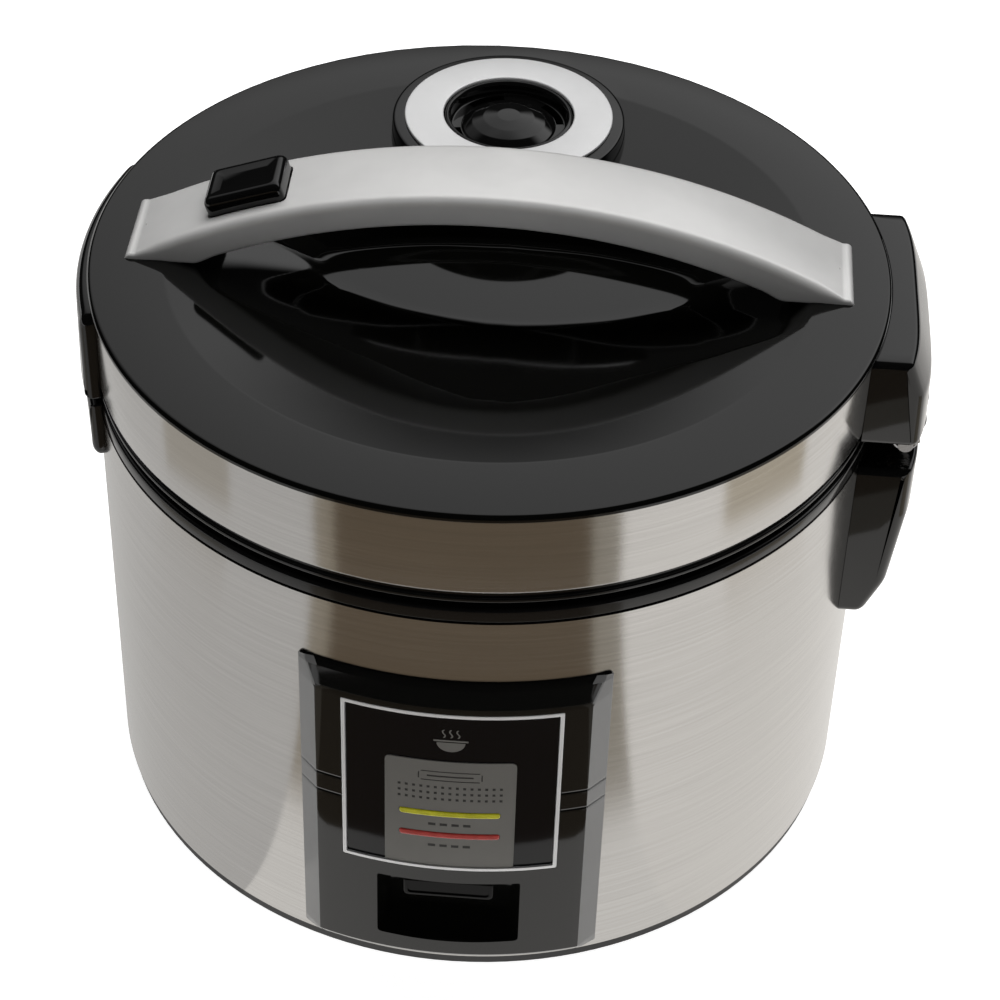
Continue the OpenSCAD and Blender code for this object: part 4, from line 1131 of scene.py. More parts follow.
        # the underside follows the same loops a wall's thickness lower
        drop = Vector((0, 0, -self.wall))
        loops.append([p + drop for p in last])
        loops.append([e.lerp(f, 0.1) + drop for e, f in zip(edge, foot)])
        loops.append([f + drop for f in foot])
        loops.append([centre + drop for _ in foot])
        piece = Shape().loft(loops).object("lid_top_cover")
        vent = Shape().lathe([(0, SIZE.band_low), (self.vent_r, SIZE.band_low), (self.vent_r, z + 20),
                              (0, z + 20)],
                             (0, SIZE.vent_y), 128)
        stem = Shape().box((-106.8, -99.4), (-2.5, 4.5), (SIZE.band_low, z + 1))
        cut(piece, vent, stem)
        return finish_piece(piece, "lid", Look.lid_gloss, "lid_cover", crisp=24.0)

    def build(self) -> None:
        """Builds and dresses the cover."""
        self.cover()


@dataclass
class Handle:
    """The arched carry handle, the release button near its left end and the screws under it."""

    root: float = 96.0
    rise: float = 32.3
    thick: float = 11.3
    embed: float = 1.0
    top_round: float = 3.2
    under_round: float = 2.0
    tip_thick: float = 1.9
    button_x: float = -79.8
    button_size: Point = (27.0, 20.0, 5.5)
    seat_depth: float = 4.4
    crown: float = 0.5
    blend_out: float = 2.0
    blend_in: float = 6.0
    nose: float = 2.2

    @property
    def mid_y(self) -> float:
        """Middle of the handle's width."""
        return (SIZE.handle_low_y + SIZE.handle_high_y) / 2

    def arc_r(self, half: float, rise: float) -> float:
        """Radius of the arc over a chord."""
        return (half * half + rise * rise) / (2 * rise)

    def arch(self) -> bpy.types.Object:
        """The strap: a rounded section that follows two arcs, with ends that blend into the rim."""
        tip, z0 = SIZE.handle_tip, SIZE.rim_z
        top_r = self.arc_r(tip, self.rise)
        under_rise = self.rise - self.thick
        under_r = self.arc_r(self.root, under_rise)
        half_w = (SIZE.handle_high_y - SIZE.handle_low_y) / 2

        def top(x: float) -> float:
            """Height of the top arc."""
            return z0 + self.rise - top_r + math.sqrt(max(0.0, top_r ** 2 - x * x))

        def under(x: float) -> float:
            """Height of the underside, or of the bedded foot near the ends."""
            if abs(x) >= self.root + self.blend_out:
                return z0 - self.embed
            arc = z0 + under_rise - under_r + math.sqrt(max(0.0, under_r ** 2 - x * x))
            if abs(x) > self.root - self.blend_in:
                share = (abs(x) - self.root + self.blend_in) / (self.blend_in + self.blend_out)
                return arc * (1 - share * share) + (z0 - self.embed) * share * share
            return arc

        stations = sorted({round(s * tip * k / 56, 3) for k in range(57) for s in (-1, 1)}
                          | {s * (tip - d) for d in (0.15, 0.4, 0.8, 1.4, 2.2, 3.4) for s in (-1, 1)}
                          | {s * (self.root + d) for d in (-6, -4, -2, -1, 0, 1, 2) for s in (-1, 1)})
        loops = []
        for x in stations:
            near = tip - abs(x)
            swell = math.sqrt(max(0.0, 1 - (1 - min(1.0, near / self.nose)) ** 2))
            high = max(top(x), z0 + self.tip_thick)
            low = under(x)
            if near < self.nose:
                high = z0 - self.embed + 0.05 + (high - z0 + self.embed - 0.05) * swell
            rise = high - low
            r_top, r_low = min(self.top_round, rise * 0.45), min(self.under_round, rise * 0.3)
            section = fillet([(-half_w, low), (half_w, low), (half_w, high), (-half_w, high)],
                             [r_low, r_low, r_top, r_top], 5)
            loop = []
            for y, z in section:
                share = y / half_w
                full = math.sqrt(max(0.0, tip * tip - y * y)) / tip
                lift = self.crown * (share * share) if z > (high + low) / 2 else 0.0
                loop.append((x * full, self.mid_y + y, z - lift * min(1.0, rise / 6)))
            loops.append(loop)
        piece = Shape().loft(loops, ends=True).object("carry_handle_arch")
        cut(piece, self.seat())
        return finish_piece(piece, "lid", Look.handle_silver, "carry_handle", crisp=40.0)

    def place(self) -> Matrix:
        """Where the button sits: its origin on the handle's top, +Z along the handle's normal."""
        top_r = self.arc_r(SIZE.handle_tip, self.rise)
        lean = math.asin(-self.button_x / top_r)
        z = SIZE.rim_z + self.rise - top_r * (1 - math.cos(lean))
        return Matrix.Translation((self.button_x, self.mid_y, z)) @ Matrix.Rotation(-lean, 4, "Y")

    def seat(self) -> Shape:
        """The hollow that the button moves in."""
        l, w, _ = self.button_size
        a, b = l / 2 + 0.4, w / 2 + 0.4
        outline = fillet([(-a, -b), (a, -b), (a, b), (-a, b)], 2.4, 5)
        return Shape().prism(outline, lambda u, v, h: (u, v, h), -self.seat_depth, 14.0).moved(self.place())

    def button(self) -> bpy.types.Object:
        """The release button: a rounded cap with a dished top, and the stem that works the latch."""
        l, w, h = self.button_size
        rows = [(0.0, -1.0), (0.0, h - 2.6), (0.15, h - 1.7), (0.55, h - 0.9), (1.2, h - 0.3), (2.1, h),
                (3.0, h - 0.1), (5.5, h - 0.55)]
        loops = []
        for inset, level in rows:
            a, b = l / 2 - inset, w / 2 - inset
            corner = max(1.0, 2.6 - inset * 0.3)
            ring = fillet([(-a, -b), (a, -b), (a, b), (-a, b)], corner, 6)
            loops.append([(u, v, level) for u, v in ring])
        cap = Shape().loft(loops, ends=True)
        stem = Shape().box((-2.4, 2.4), (-3, 3), (-6, 0.0), 0.3)
        bar = Shape().box((-26, 2.4), (-3, 3), (-6, -4.7), 0.3)
        piece = cap.moved(self.place()).object("release_button_cap")
        cut(piece, stem.moved(self.place()), bar.moved(self.place()),
            Shape().box((-106.3, -101.3), (-2, 4), (189.6, SIZE.rim_z + 2.5), 0.3), how="UNION")
        return finish_piece(piece, "button", Look.gloss_black, "release_button", crisp=35.0)

    def screws(self) -> bpy.types.Object:
        """The two pan-head screws that hold the handle from inside the lid."""
        z = SIZE.band_top
        head = fillet([(0, -10.2), (2.6, -10.2), (3.6, -8.9), (3.6, -8.0), (1.65, -8.0), (1.65, 4.4),
                       (1.2, 5.0), (0, 5.0)], [0, 0.8, 0.3, 0.2, 0.1, 0.2, 0.2, 0], 3)
        screw = Shape().lathe(head, steps=32)
        x = SIZE.handle_tip - 7
        piece = repeated(screw.alone("handle_screw_pair"),
                         [((s * x, self.mid_y, z), (0, 0, 0)) for s in (-1, 1)],
                         Look.screw_steel)
        return finish_piece(piece, "lid", Look.screw_steel, "handle_screws")

    def build(self) -> None:
        """Builds and dresses the handle's pieces."""
        self.arch()
        self.button()
        self.screws()


@dataclass
class SteamVent:
    """The steam vent: a silver ring on a black cup, with a domed cap that lifts in its hole."""

    ring_r: float = 36.7
    hole_r: float = 23.0
    cup_r: float = 41.0
    face_z: float = 208.6
    cup_floor_z: float = 176.7
    dome_r: float = 16.1
    slots: int = 4
    slot_start: float = 30.0
    slot_half: int = 21
    slot_step: int = 3
    ring_thick: float = 1.4
    moat: float = 4.2

    def ring(self) -> bpy.types.Object:
        """The silver ring, a flat washer with rolled edges."""
        z, top = self.face_z, self.face_z + self.ring_thick
        profile = fillet([(self.hole_r, z), (self.ring_r, z), (self.ring_r, top - 0.2), (self.hole_r, top)],
                         [0.2, 0.3, 0.8, 0.9], 4)
        piece = Shape().lathe(profile, (0, SIZE.vent_y), VENT_STEPS).object("vent_silver_ring")
        return finish_piece(piece, "lid", Look.silver_trim, "vent_ring")

    def cup(self) -> bpy.types.Object:
        """The black cup: a collar that stands in the dish, and the well under the cap."""
        z, well = self.face_z, self.hole_r + 0.4
        profile = fillet([
            (self.cup_r - 2, SIZE.rim_z - 12), (self.cup_r, SIZE.rim_z - 12), (self.cup_r, z), (well, z),
            (well, self.cup_floor_z + 2), (6.0, self.cup_floor_z + 2), (6.0, self.cup_floor_z),
            (well + 2, self.cup_floor_z), (well + 2, z - 1.5), (self.cup_r - 2, z - 1.5)],
            [0.2, 0.2, 1.2, 0.3, 1.0, 0.4, 0.4, 0.8, 0.3, 0.3], 4)
        piece = Shape().lathe(profile, (0, SIZE.vent_y), VENT_STEPS).object("vent_well_cup")
        return finish_piece(piece, "lid", Look.satin_black, "vent_cup")

    def cap(self) -> bpy.types.Object:
        """The lifting cap: a low dome in a moat, with steam slots round it."""
        z, rim, dome = self.face_z, self.hole_r - 0.4, self.dome_r
        profile = fillet([
            (0, z + 0.6), (4, z + 0.5), (9, z - 0.3), (13, z - 1.7), (dome, z - 3.6),
            (dome + 0.6, z - self.moat),
            (rim - 2.2, z - self.moat), (rim - 2.0, z - 0.2), (rim - 1.2, z + 1.0), (rim, z + 0.4),
            (rim, z - 12), (rim - 2, z - 12), (rim - 2, z - 6), (dome - 1, z - 6), (dome - 3, z - 5.2),
            (0, z - 2.2)],
            [0, 3, 3, 3, 1.0, 0.4, 0.8, 0.4, 0.7, 0.5, 0.3, 0.3, 0.3, 0.5, 0.5, 0], 4)
        piece = Shape().lathe(profile, (0, SIZE.vent_y), 144).object("vent_steam_cap")
        slot_in, slot_out = dome + 0.9, rim - 2.9
        section = ((slot_in, z - 9), (slot_out, z - 9), (slot_out, z + 3), (slot_in, z + 3))
        for k in range(self.slots):
            middle = self.slot_start + 360.0 * k / self.slots
            turns = [math.radians(middle + a)
                     for a in range(-self.slot_half, self.slot_half + 1, self.slot_step)]
            loops = [[(r * math.cos(a), SIZE.vent_y + r * math.sin(a), h) for r, h in section] for a in turns]
            cut(piece, Shape().loft(loops, ends=True))
        return finish_piece(piece, "vent", Look.gloss_black, "vent_cap", crisp=40.0)

    def build(self) -> None:
        """Builds and dresses the vent's pieces."""
        self.ring()
        self.cup()
        self.cap()


@dataclass
class FrontPanel:
    """The switch panel bent round the drum: housing, window, card, lamps' bars and the lever's opening."""

    half_deg: float = 22.0
    bevel_deg: float = 3.3
    top_bevel: float = 9.0
    window_half_deg: float = 15.0
    window: Flat = (56.7, 128.6)
    recess_half: float = 24.0
    recess: Flat = (21.5, 50.5)
    recess_back_y: float = -123.0
    groove: Flat = (83.5, 91.5)
    card_half_deg: float = 8.9
    card: Flat = (58.7, 107.2)
    bar_half_deg: float = 6.9
    bar_h: float = 2.6
    support: float = 0.35
    warm_z: float = 83.0
    cook_z: float = 73.0
    dots_z: float = 92.6
    dashes_drop: float = 5.0

    def bent(self, out: float) -> Callable[[float, float, float], Point]:
        """Wraps a flat drawing round the drum: u runs along the arc, v is height, w is out from a radius.

        Args:
            out: radius at which w is zero.
        Returns:
            The function that places a point.
        """
        return lambda u, v, w: (*at_angle(math.degrees(u / SIZE.panel_r), out + w), v)

    def arc(self, degrees: float) -> float:
        """Length along the panel's face for an angle."""
        return math.radians(degrees) * SIZE.panel_r

    def plate(self, half_deg: float, z: Flat, out: Flat, corner: float | Sequence[float], rounding: float,
              step: float = 1.5) -> Shape:
        """A plate bent round the drum, with rounded corners and rims.

        Args:
            half_deg: half of its angle.
            z: its lower and upper edge.
            out: radius of its back and of its face.
            corner: radius of its corners, or one for each from the lower left, turning right.
            rounding: radius of its rims.
            step: length of a piece along the arc.
        Returns:
            The plate.
        """
        half = self.arc(half_deg)
        corners = corner if isinstance(corner, (list, tuple)) else [corner] * 4
        outline = fillet([(-half, z[0]), (half, z[0]), (half, z[1]), (-half, z[1])], list(corners), 5)
        rows = [(0.0, out[0])]
        rows += [(rounding * (1 - math.cos(b)), out[1] - rounding * (1 - math.sin(b)))
                 for b in quarter(3)] if rounding else [(0.0, out[1])]
        rows.append((rounding + self.support, out[1]))
        return SlicedArea(outline, step).raised(self.bent(0.0), rows)

    def cut_bars(self, piece: bpy.types.Object) -> bpy.types.Object:
        """Cuts the places of both lamps' bars out of a piece."""
        face, reach = SIZE.panel_r, self.bar_h / 2 + 0.05
        for z in (self.warm_z, self.cook_z):
            cut(piece, self.plate(self.bar_half_deg + 0.05, (z - reach, z + reach), (face - 3, face + 1),
                                  1.2, 0.0))
        return piece

    def housing(self) -> bpy.types.Object:
        """The moulded housing: slanted sides and top, two grooves, the window's seat and the opening."""
        low, top, face = SIZE.panel_low, SIZE.panel_top, SIZE.panel_r
        back = SIZE.drum_r + 0.05
        half, inner = self.half_deg, self.half_deg - self.bevel_deg
        # height, reach of the face there, and share of the side bevel
        rows = [(low, back + 1.2, 0.75), (low + 0.5, back + 2.8, 0.4), (low + 1.8, face - 0.9, 0.12),
                (low + 3.4, face, 0.0), (low + 4.0, face, 0.0)]
        for g in self.groove:
            rows += [(g + rise, face - deep, 0.0) for rise, deep in (
                (-1.5, 0.0), (-1.0, 0.0), (-0.45, 0.15), (0.0, 0.7), (0.45, 0.15), (1.0, 0.0), (1.5, 0.0))]
        knee = top - self.top_bevel
        rows += [(knee - 0.6, face, 0.0), (knee, face, 0.0), (knee + 0.9, face - 0.22, 0.07),
                 (knee + 1.6, face - 0.55, 0.12), (top - 1.9, back + 2.15, 0.63), (top - 1.6, back + 1.9, 0.66),
                 (top - 0.6, back + 1.2, 0.8), (top, back + 0.5, 0.93)]
        loops = []
        for z, reach, share in rows:
            out_half = half - 0.25 * (1.0 if z in (low, top) else 0.0)
            in_half = inner + (half - inner) * share * 0.85
            section = [(-out_half, back), (-out_half, back + 0.5), (-out_half + 0.12, back + 0.9)]
            rise = min(reach, face) - back
            section += [(-in_half - 0.25, back + max(0.95, rise - 0.35)),
                        (-in_half, back + max(1.0, rise - 0.08)),
                        (-in_half + 0.3, back + max(1.0, rise))]
            count = 30
            middle = [(-in_half + 0.3 + (2 * in_half - 0.6) * k / count, reach) for k in range(1, count)]
            mirrored = [(-a, r) for a, r in reversed(section)]
            loops.append([(*at_angle(a, r), z) for a, r in section + middle + mirrored])
        piece = Shape().loft(loops, ends=True).object("switch_panel_housing")
        # walls of the opening behind the drum's skin
        half_w, (z0, z1) = self.recess_half, self.recess
        walls = Shape().box((-half_w - 2, half_w + 2), (-SIZE.drum_r - 0.6, -121.1), (z0 - 2, z1 + 2))
        cut(piece, walls, how="UNION")
        front, rear = -SIZE.panel_r - 8.0, self.recess_back_y
        lip = -SIZE.panel_r + 1.2
        loops = []
        for y, grow, drop in ((rear, -3.6, 3.0), (rear - 1.0, -3.2, 2.6), (lip + 1.4, -0.4, 0.3),
                              (lip, 0.0, 0.0), (lip - 1.8, 0.9, -0.7), (front, 0.9, -0.7)):
            side = half_w + grow
            outline = fillet([(-side, z0 + drop), (side, z0 + drop), (side, z1), (-side, z1)],
                             [1.6, 1.6, 1.0, 1.0], 3)
            loops.append([(u, y, v) for u, v in outline])
        cut(piece, Shape().loft(loops, ends=True))
        cut(piece, Shape().box((-8.5, 8.5), (-SIZE.drum_r, -102), (34.0, z1)))
        seat = self.plate(self.window_half_deg, self.window, (face - 1.6, face + 4.0), 0.6, 0.0)
        near, far, under, over = SIZE.drum_r - 1, face - 1.0, self.window[0] + 4, self.window[1] - 4
        room = Shape().sector([(near, under), (far, under), (far, over), (near, over)],
                              0, self.window_half_deg - 3, 1.5)
        cut(piece, seat, room)
        # the slanted sides take the second material, a grey copy of the gloss black that paints in their
        # reflection of the bright studio side
        finish_piece(piece, "base", (Look.panel_gloss, Look.panel_bevel), "control_panel", crisp=14.0)
        for face_ in piece.data.polygons:
            x, y = face_.center.x / MM - AXIS_X, face_.center.y / MM
            if abs(math.degrees(math.atan2(x, -y))) > inner + 0.1 and math.hypot(x, y) > back:
                face_.material_index = 1
        return piece

    def face(self) -> bpy.types.Object:
        """The dark film behind the window."""
        face = SIZE.panel_r
        piece = self.plate(self.window_half_deg - 0.05, (self.window[0] + 0.05, self.window[1] - 0.05),
                           (face - 1.55, face - 0.75), 0.6, 0.15).object("window_film")
        return finish_piece(self.cut_bars(piece), "base", Look.panel_navy, "panel_face")

    def frame(self) -> bpy.types.Object:
        """The thin silver frame round the window."""
        face = SIZE.panel_r
        piece = self.plate(self.window_half_deg - 0.05, (self.window[0] + 0.05, self.window[1] - 0.05),
                           (face - 0.72, face + 0.1), 0.7, 0.3).object("window_silver_frame")
        cut(piece, self.plate(self.window_half_deg - 0.6, (self.window[0] + 1.4, self.window[1] - 1.4),
                              (face - 2, face + 1), 0.5, 0.0))
        return finish_piece(piece, "base", Look.silver_trim, "panel_frame")

    def silver_card(self) -> bpy.types.Object:
        """The silver card inside the window, with rounded upper corners."""
        face = SIZE.panel_r
        piece = self.plate(self.card_half_deg, (self.card[0] - 0.6, self.card[1]), (face - 0.75, face - 0.35),
                           [0.3, 0.3, 2.4, 2.4], 0.12).object("silver_marking_card")
        return finish_piece(self.cut_bars(piece), "base", Look.silver_card, "panel_card")

    def bar(self, name: str, z: float, look: Look, node: str) -> bpy.types.Object:
        """A lamp's long lens with rounded ends and its flange behind the film."""
        face = SIZE.panel_r
        piece = self.plate(self.bar_half_deg, (z - self.bar_h / 2, z + self.bar_h / 2),
                           (face - 1.7, face - 0.02),
                           1.2, 0.5, 1.0).object(name)
        cut(piece, self.plate(self.bar_half_deg + 0.5, (z - self.bar_h / 2 - 0.6, z + self.bar_h / 2 + 0.6),
                              (face - 3, face - 1.58), 1.2, 0.2), how="UNION")
        return finish_piece(piece, "base", look, node)

    def print_marks(self) -> bpy.types.Object:
        """Dark printed marks on the card: a grid of dots, a ruled lozenge and two rows of dashes."""
        out = SIZE.panel_r - 0.37
        pattern = Pattern("card_marks_pattern", {
            "Columns": 15, "Rows": 3, "Width": self.arc(2 * 6.9) * MM, "Height": 5.4 * MM, "Side": 0.95 * MM,
            "Thickness": 0.12 * MM})
        grid = pattern.node("GeometryNodeMeshGrid", inputs={
            "Size X": pattern.size("Width"), "Size Y": pattern.size("Height"),
            "Vertices X": pattern.size("Columns"), "Vertices Y": pattern.size("Rows")})
        dot = pattern.node("GeometryNodeMeshCube", inputs={
            "Size": pattern.vector(pattern.size("Side"), pattern.size("Side"), pattern.size("Thickness"))})
        dots = pattern.node("GeometryNodeInstanceOnPoints", inputs={"Points": grid, "Instance": dot})
        lifted = pattern.node("GeometryNodeTransform", inputs={
            "Geometry": dots, "Translation": (0.0, self.dots_z * MM, 0.0)})
        both = pattern.node("GeometryNodeJoinGeometry")
        for part in (lifted, pattern.form()):
            pattern.tree.links.new(part.socket, both.socket.node.inputs[0])
        real = pattern.node("GeometryNodeRealizeInstances", inputs={0: both})
        x, y, z = pattern.parts(pattern.node("GeometryNodeInputPosition"))
        angle = x / (SIZE.panel_r * MM)
        reach = z + out * MM
        bent = pattern.vector(angle.sine() * reach + AXIS_X * MM, angle.cosine() * reach * -1.0, y)
        placed = pattern.node("GeometryNodeSetPosition", inputs={"Geometry": real, "Position": bent})
        pattern.close(placed, Look.print_black)
        marks = Shape()

        def stroke(u: Flat, v: Flat) -> None:
            """Adds one printed bar, cut into short lengths so that it bends."""
            pieces = max(1, math.ceil((u[1] - u[0]) / 1.5))
            for k in range(pieces):
                a = u[0] + (u[1] - u[0]) * k / pieces
                b = u[0] + (u[1] - u[0]) * (k + 1) / pieces
                marks.box((a - AXIS_X, b - AXIS_X), v, (-0.06, 0.06))

        # a lozenge with a rule inside, above the dots
        for v in (98.4, 102.4):
            stroke((-9.5, 9.5), (v - 0.18, v + 0.18))
        for s in (-1, 1):
            stroke((s * 10.2 - 0.2, s * 10.2 + 0.2), (99.0, 101.8))
        stroke((-7.5, 7.5), (100.1, 100.7))
        # dashes under each bar
        for v in (self.warm_z - self.dashes_drop, self.cook_z - self.dashes_drop):
            for k in range(4):
                stroke((-6.9 + 3.8 * k, -4.5 + 3.8 * k), (v - 0.55, v + 0.55))
        piece = pattern.run(marks.object("card_printed_marks"))
        return finish_piece(piece, "base", Look.print_black)

    def emblem(self) -> bpy.types.Object:
        """A plain steaming bowl on the film above the card, in place of any mark."""
        marks = Shape()
        z0, thick, place = 113.2, 0.2, self.bent(SIZE.panel_r - 0.8)
        turns = [math.pi + math.pi * k / 18 for k in range(19)]
        marks.prism([(4.6 * math.cos(a), z0 + 2.4 + 4.0 * math.sin(a)) for a in turns], place, 0.0, thick)
        rim = fillet([(-5.6, z0 + 2.8), (5.6, z0 + 2.8), (5.6, z0 + 3.5), (-5.6, z0 + 3.5)], 0.3, 3)
        marks.prism(rim, place, 0.0, thick)
        for u in (-2.3, 0.0, 2.3):
            line = [(u + 0.45 * math.sin(k * 0.9), z0 + 4.6 + 0.5 * k) for k in range(8)]
            wisp = [(a - 0.25, b) for a, b in line] + [(a + 0.25, b) for a, b in reversed(line)]
            marks.prism(wisp, place, 0.0, thick)
        return finish_piece(marks.object("window_bowl_mark"), "base", Look.silver_card)

    def build(self) -> None:
        """Builds and dresses the panel's pieces."""
        self.housing()
        self.face()
        self.frame()
        self.silver_card()
        self.bar("warm_lamp_bar", self.warm_z, Look.lens_yellow, "warm_lens")
        self.bar("cook_lamp_bar", self.cook_z, Look.lens_red, "cook_lens")
        self.print_marks()
        self.emblem()


class SlicedArea:
    """A flat outline filled by narrow upright strips, so that it can be bent without facets."""

    def __init__(self, outline: Sequence[Flat], step: float) -> None:
        """Cuts the outline into strips.

        Args:
            outline: the outline, star-shaped along u.
            step: widest strip.
        """
        mesh = bmesh.new()
        face = mesh.faces.new([mesh.verts.new((u, v, 0)) for u, v in outline])
        if face.normal.z < 0:
            face.normal_flip()
        low, high = min(u for u, _ in outline), max(u for u, _ in outline)
        count = max(1, math.ceil((high - low) / step))
        for k in range(1, count):
            at = low + (high - low) * k / count
            bmesh.ops.bisect_plane(mesh, geom=mesh.verts[:] + mesh.edges[:] + mesh.faces[:], dist=1e-6,
                                   plane_co=(at, 0, 0), plane_no=(1, 0, 0))
        mesh.normal_update()
        mesh.verts.ensure_lookup_table()
        self.flat = [Vector((v.co.x, v.co.y)) for v in mesh.verts]
        self.faces = [tuple(v.index for v in f.verts) for f in mesh.faces]
        self.inward: dict[int, Vector] = {}
        rim = {}
        for edge in mesh.edges:
            if edge.is_boundary:
                loop = edge.link_loops[0]
                rim[loop.vert.index] = loop.link_loop_next.vert.index
        self.rim: list[int] = []
        at = next(iter(rim))
        while at not in self.rim:
            self.rim.append(at)
            at = rim[at]
        size = len(self.rim)
        for k, i in enumerate(self.rim):
            a = (self.flat[i] - self.flat[self.rim[k - 1]]).normalized()
            b = (self.flat[self.rim[(k + 1) % size]] - self.flat[i]).normalized()
            side = Vector((-(a + b).y, (a + b).x)).normalized()
            self.inward[i] = side / max(0.5, side.dot(Vector((-a.y, a.x))))
        mesh.free()

    def raised(self, place: Callable[[float, float, float], Point],
               rows: Sequence[tuple[float, float]]) -> Shape:
        """Raises the area into a closed form.

        Args:
            place: gives the place of a point u, v at a level.
            rows: how far the rim is drawn in at each level, from the back to the face.
        Returns:
            The form.
        """
        points: list[Point] = []
        faces: list[tuple[int, ...]] = []
        size = len(self.flat)
        for inset, level in rows:
            for i, p in enumerate(self.flat):
                at = p + self.inward[i] * inset if i in self.inward else p
                points.append(place(at.x, at.y, level))
        last = (len(rows) - 1) * size
        faces += [tuple(reversed(f)) for f in self.faces]
        faces += [tuple(last + i for i in f) for f in self.faces]
        for r in range(len(rows) - 1):
            for k, i in enumerate(self.rim):
                j = self.rim[(k + 1) % len(self.rim)]
                faces.append((r * size + i, r * size + j, (r + 1) * size + j, (r + 1) * size + i))
        return Shape().add(points, faces)


@dataclass
class CookLever:
    """The lever's paddle in the panel's opening."""

    half: float = 15.0
    z: Flat = (42.0, 50.0)
    y: Flat = (-136.0, -123.4)
    arm_half: float = 6.0
    arm_z: Flat = (46.0, 47.6)

    def build(self) -> None:
        """Builds the paddle: a shelf with a raised front that has a rim round its face."""
        y0, y1 = self.y
        z0, z1 = self.z
        shelf = Shape().box((-self.half + 0.6, self.half - 0.6), (y0 + 1, y1), (z0, z0 + 2.4), 0.5, 0.8)
        piece = shelf.object("cook_lever_paddle")
        outline = fillet([(-self.half, z0), (self.half, z0), (self.half, z1), (-self.half, z1)],
                         [2.2, 2.2, 1.2, 1.2], 5)
        front = Shape().prism(outline, lambda u, v, w: (u, y0 + w, v), 0.0, 2.7, 0.7, 4)
        boss = Shape().box((-self.arm_half - 1.5, self.arm_half + 1.5), (y1 - 3, y1 + 4.4),
                           (z0 + 2, z1 - 0.4), 0.4)
        cut(piece, front, boss, how="UNION")
        inner = fillet([(-self.half + 1.5, z0 + 1.3), (self.half - 1.5, z0 + 1.3), (self.half - 1.5, z1 - 1.3),
                        (-self.half + 1.5, z1 - 1.3)], [1.4, 1.4, 0.8, 0.8], 5)
        cut(piece, Shape().prism(inner, lambda u, v, w: (u, y0 - w, v), -0.5, 3.0),
            Shape().box((-self.arm_half - 0.05, self.arm_half + 0.05), (y1 + 0.4, y1 + 6),
                        (self.arm_z[0] - 0.05, self.arm_z[1] + 0.05)))
        finish_piece(piece, "lever", Look.paddle_black, "cook_lever")


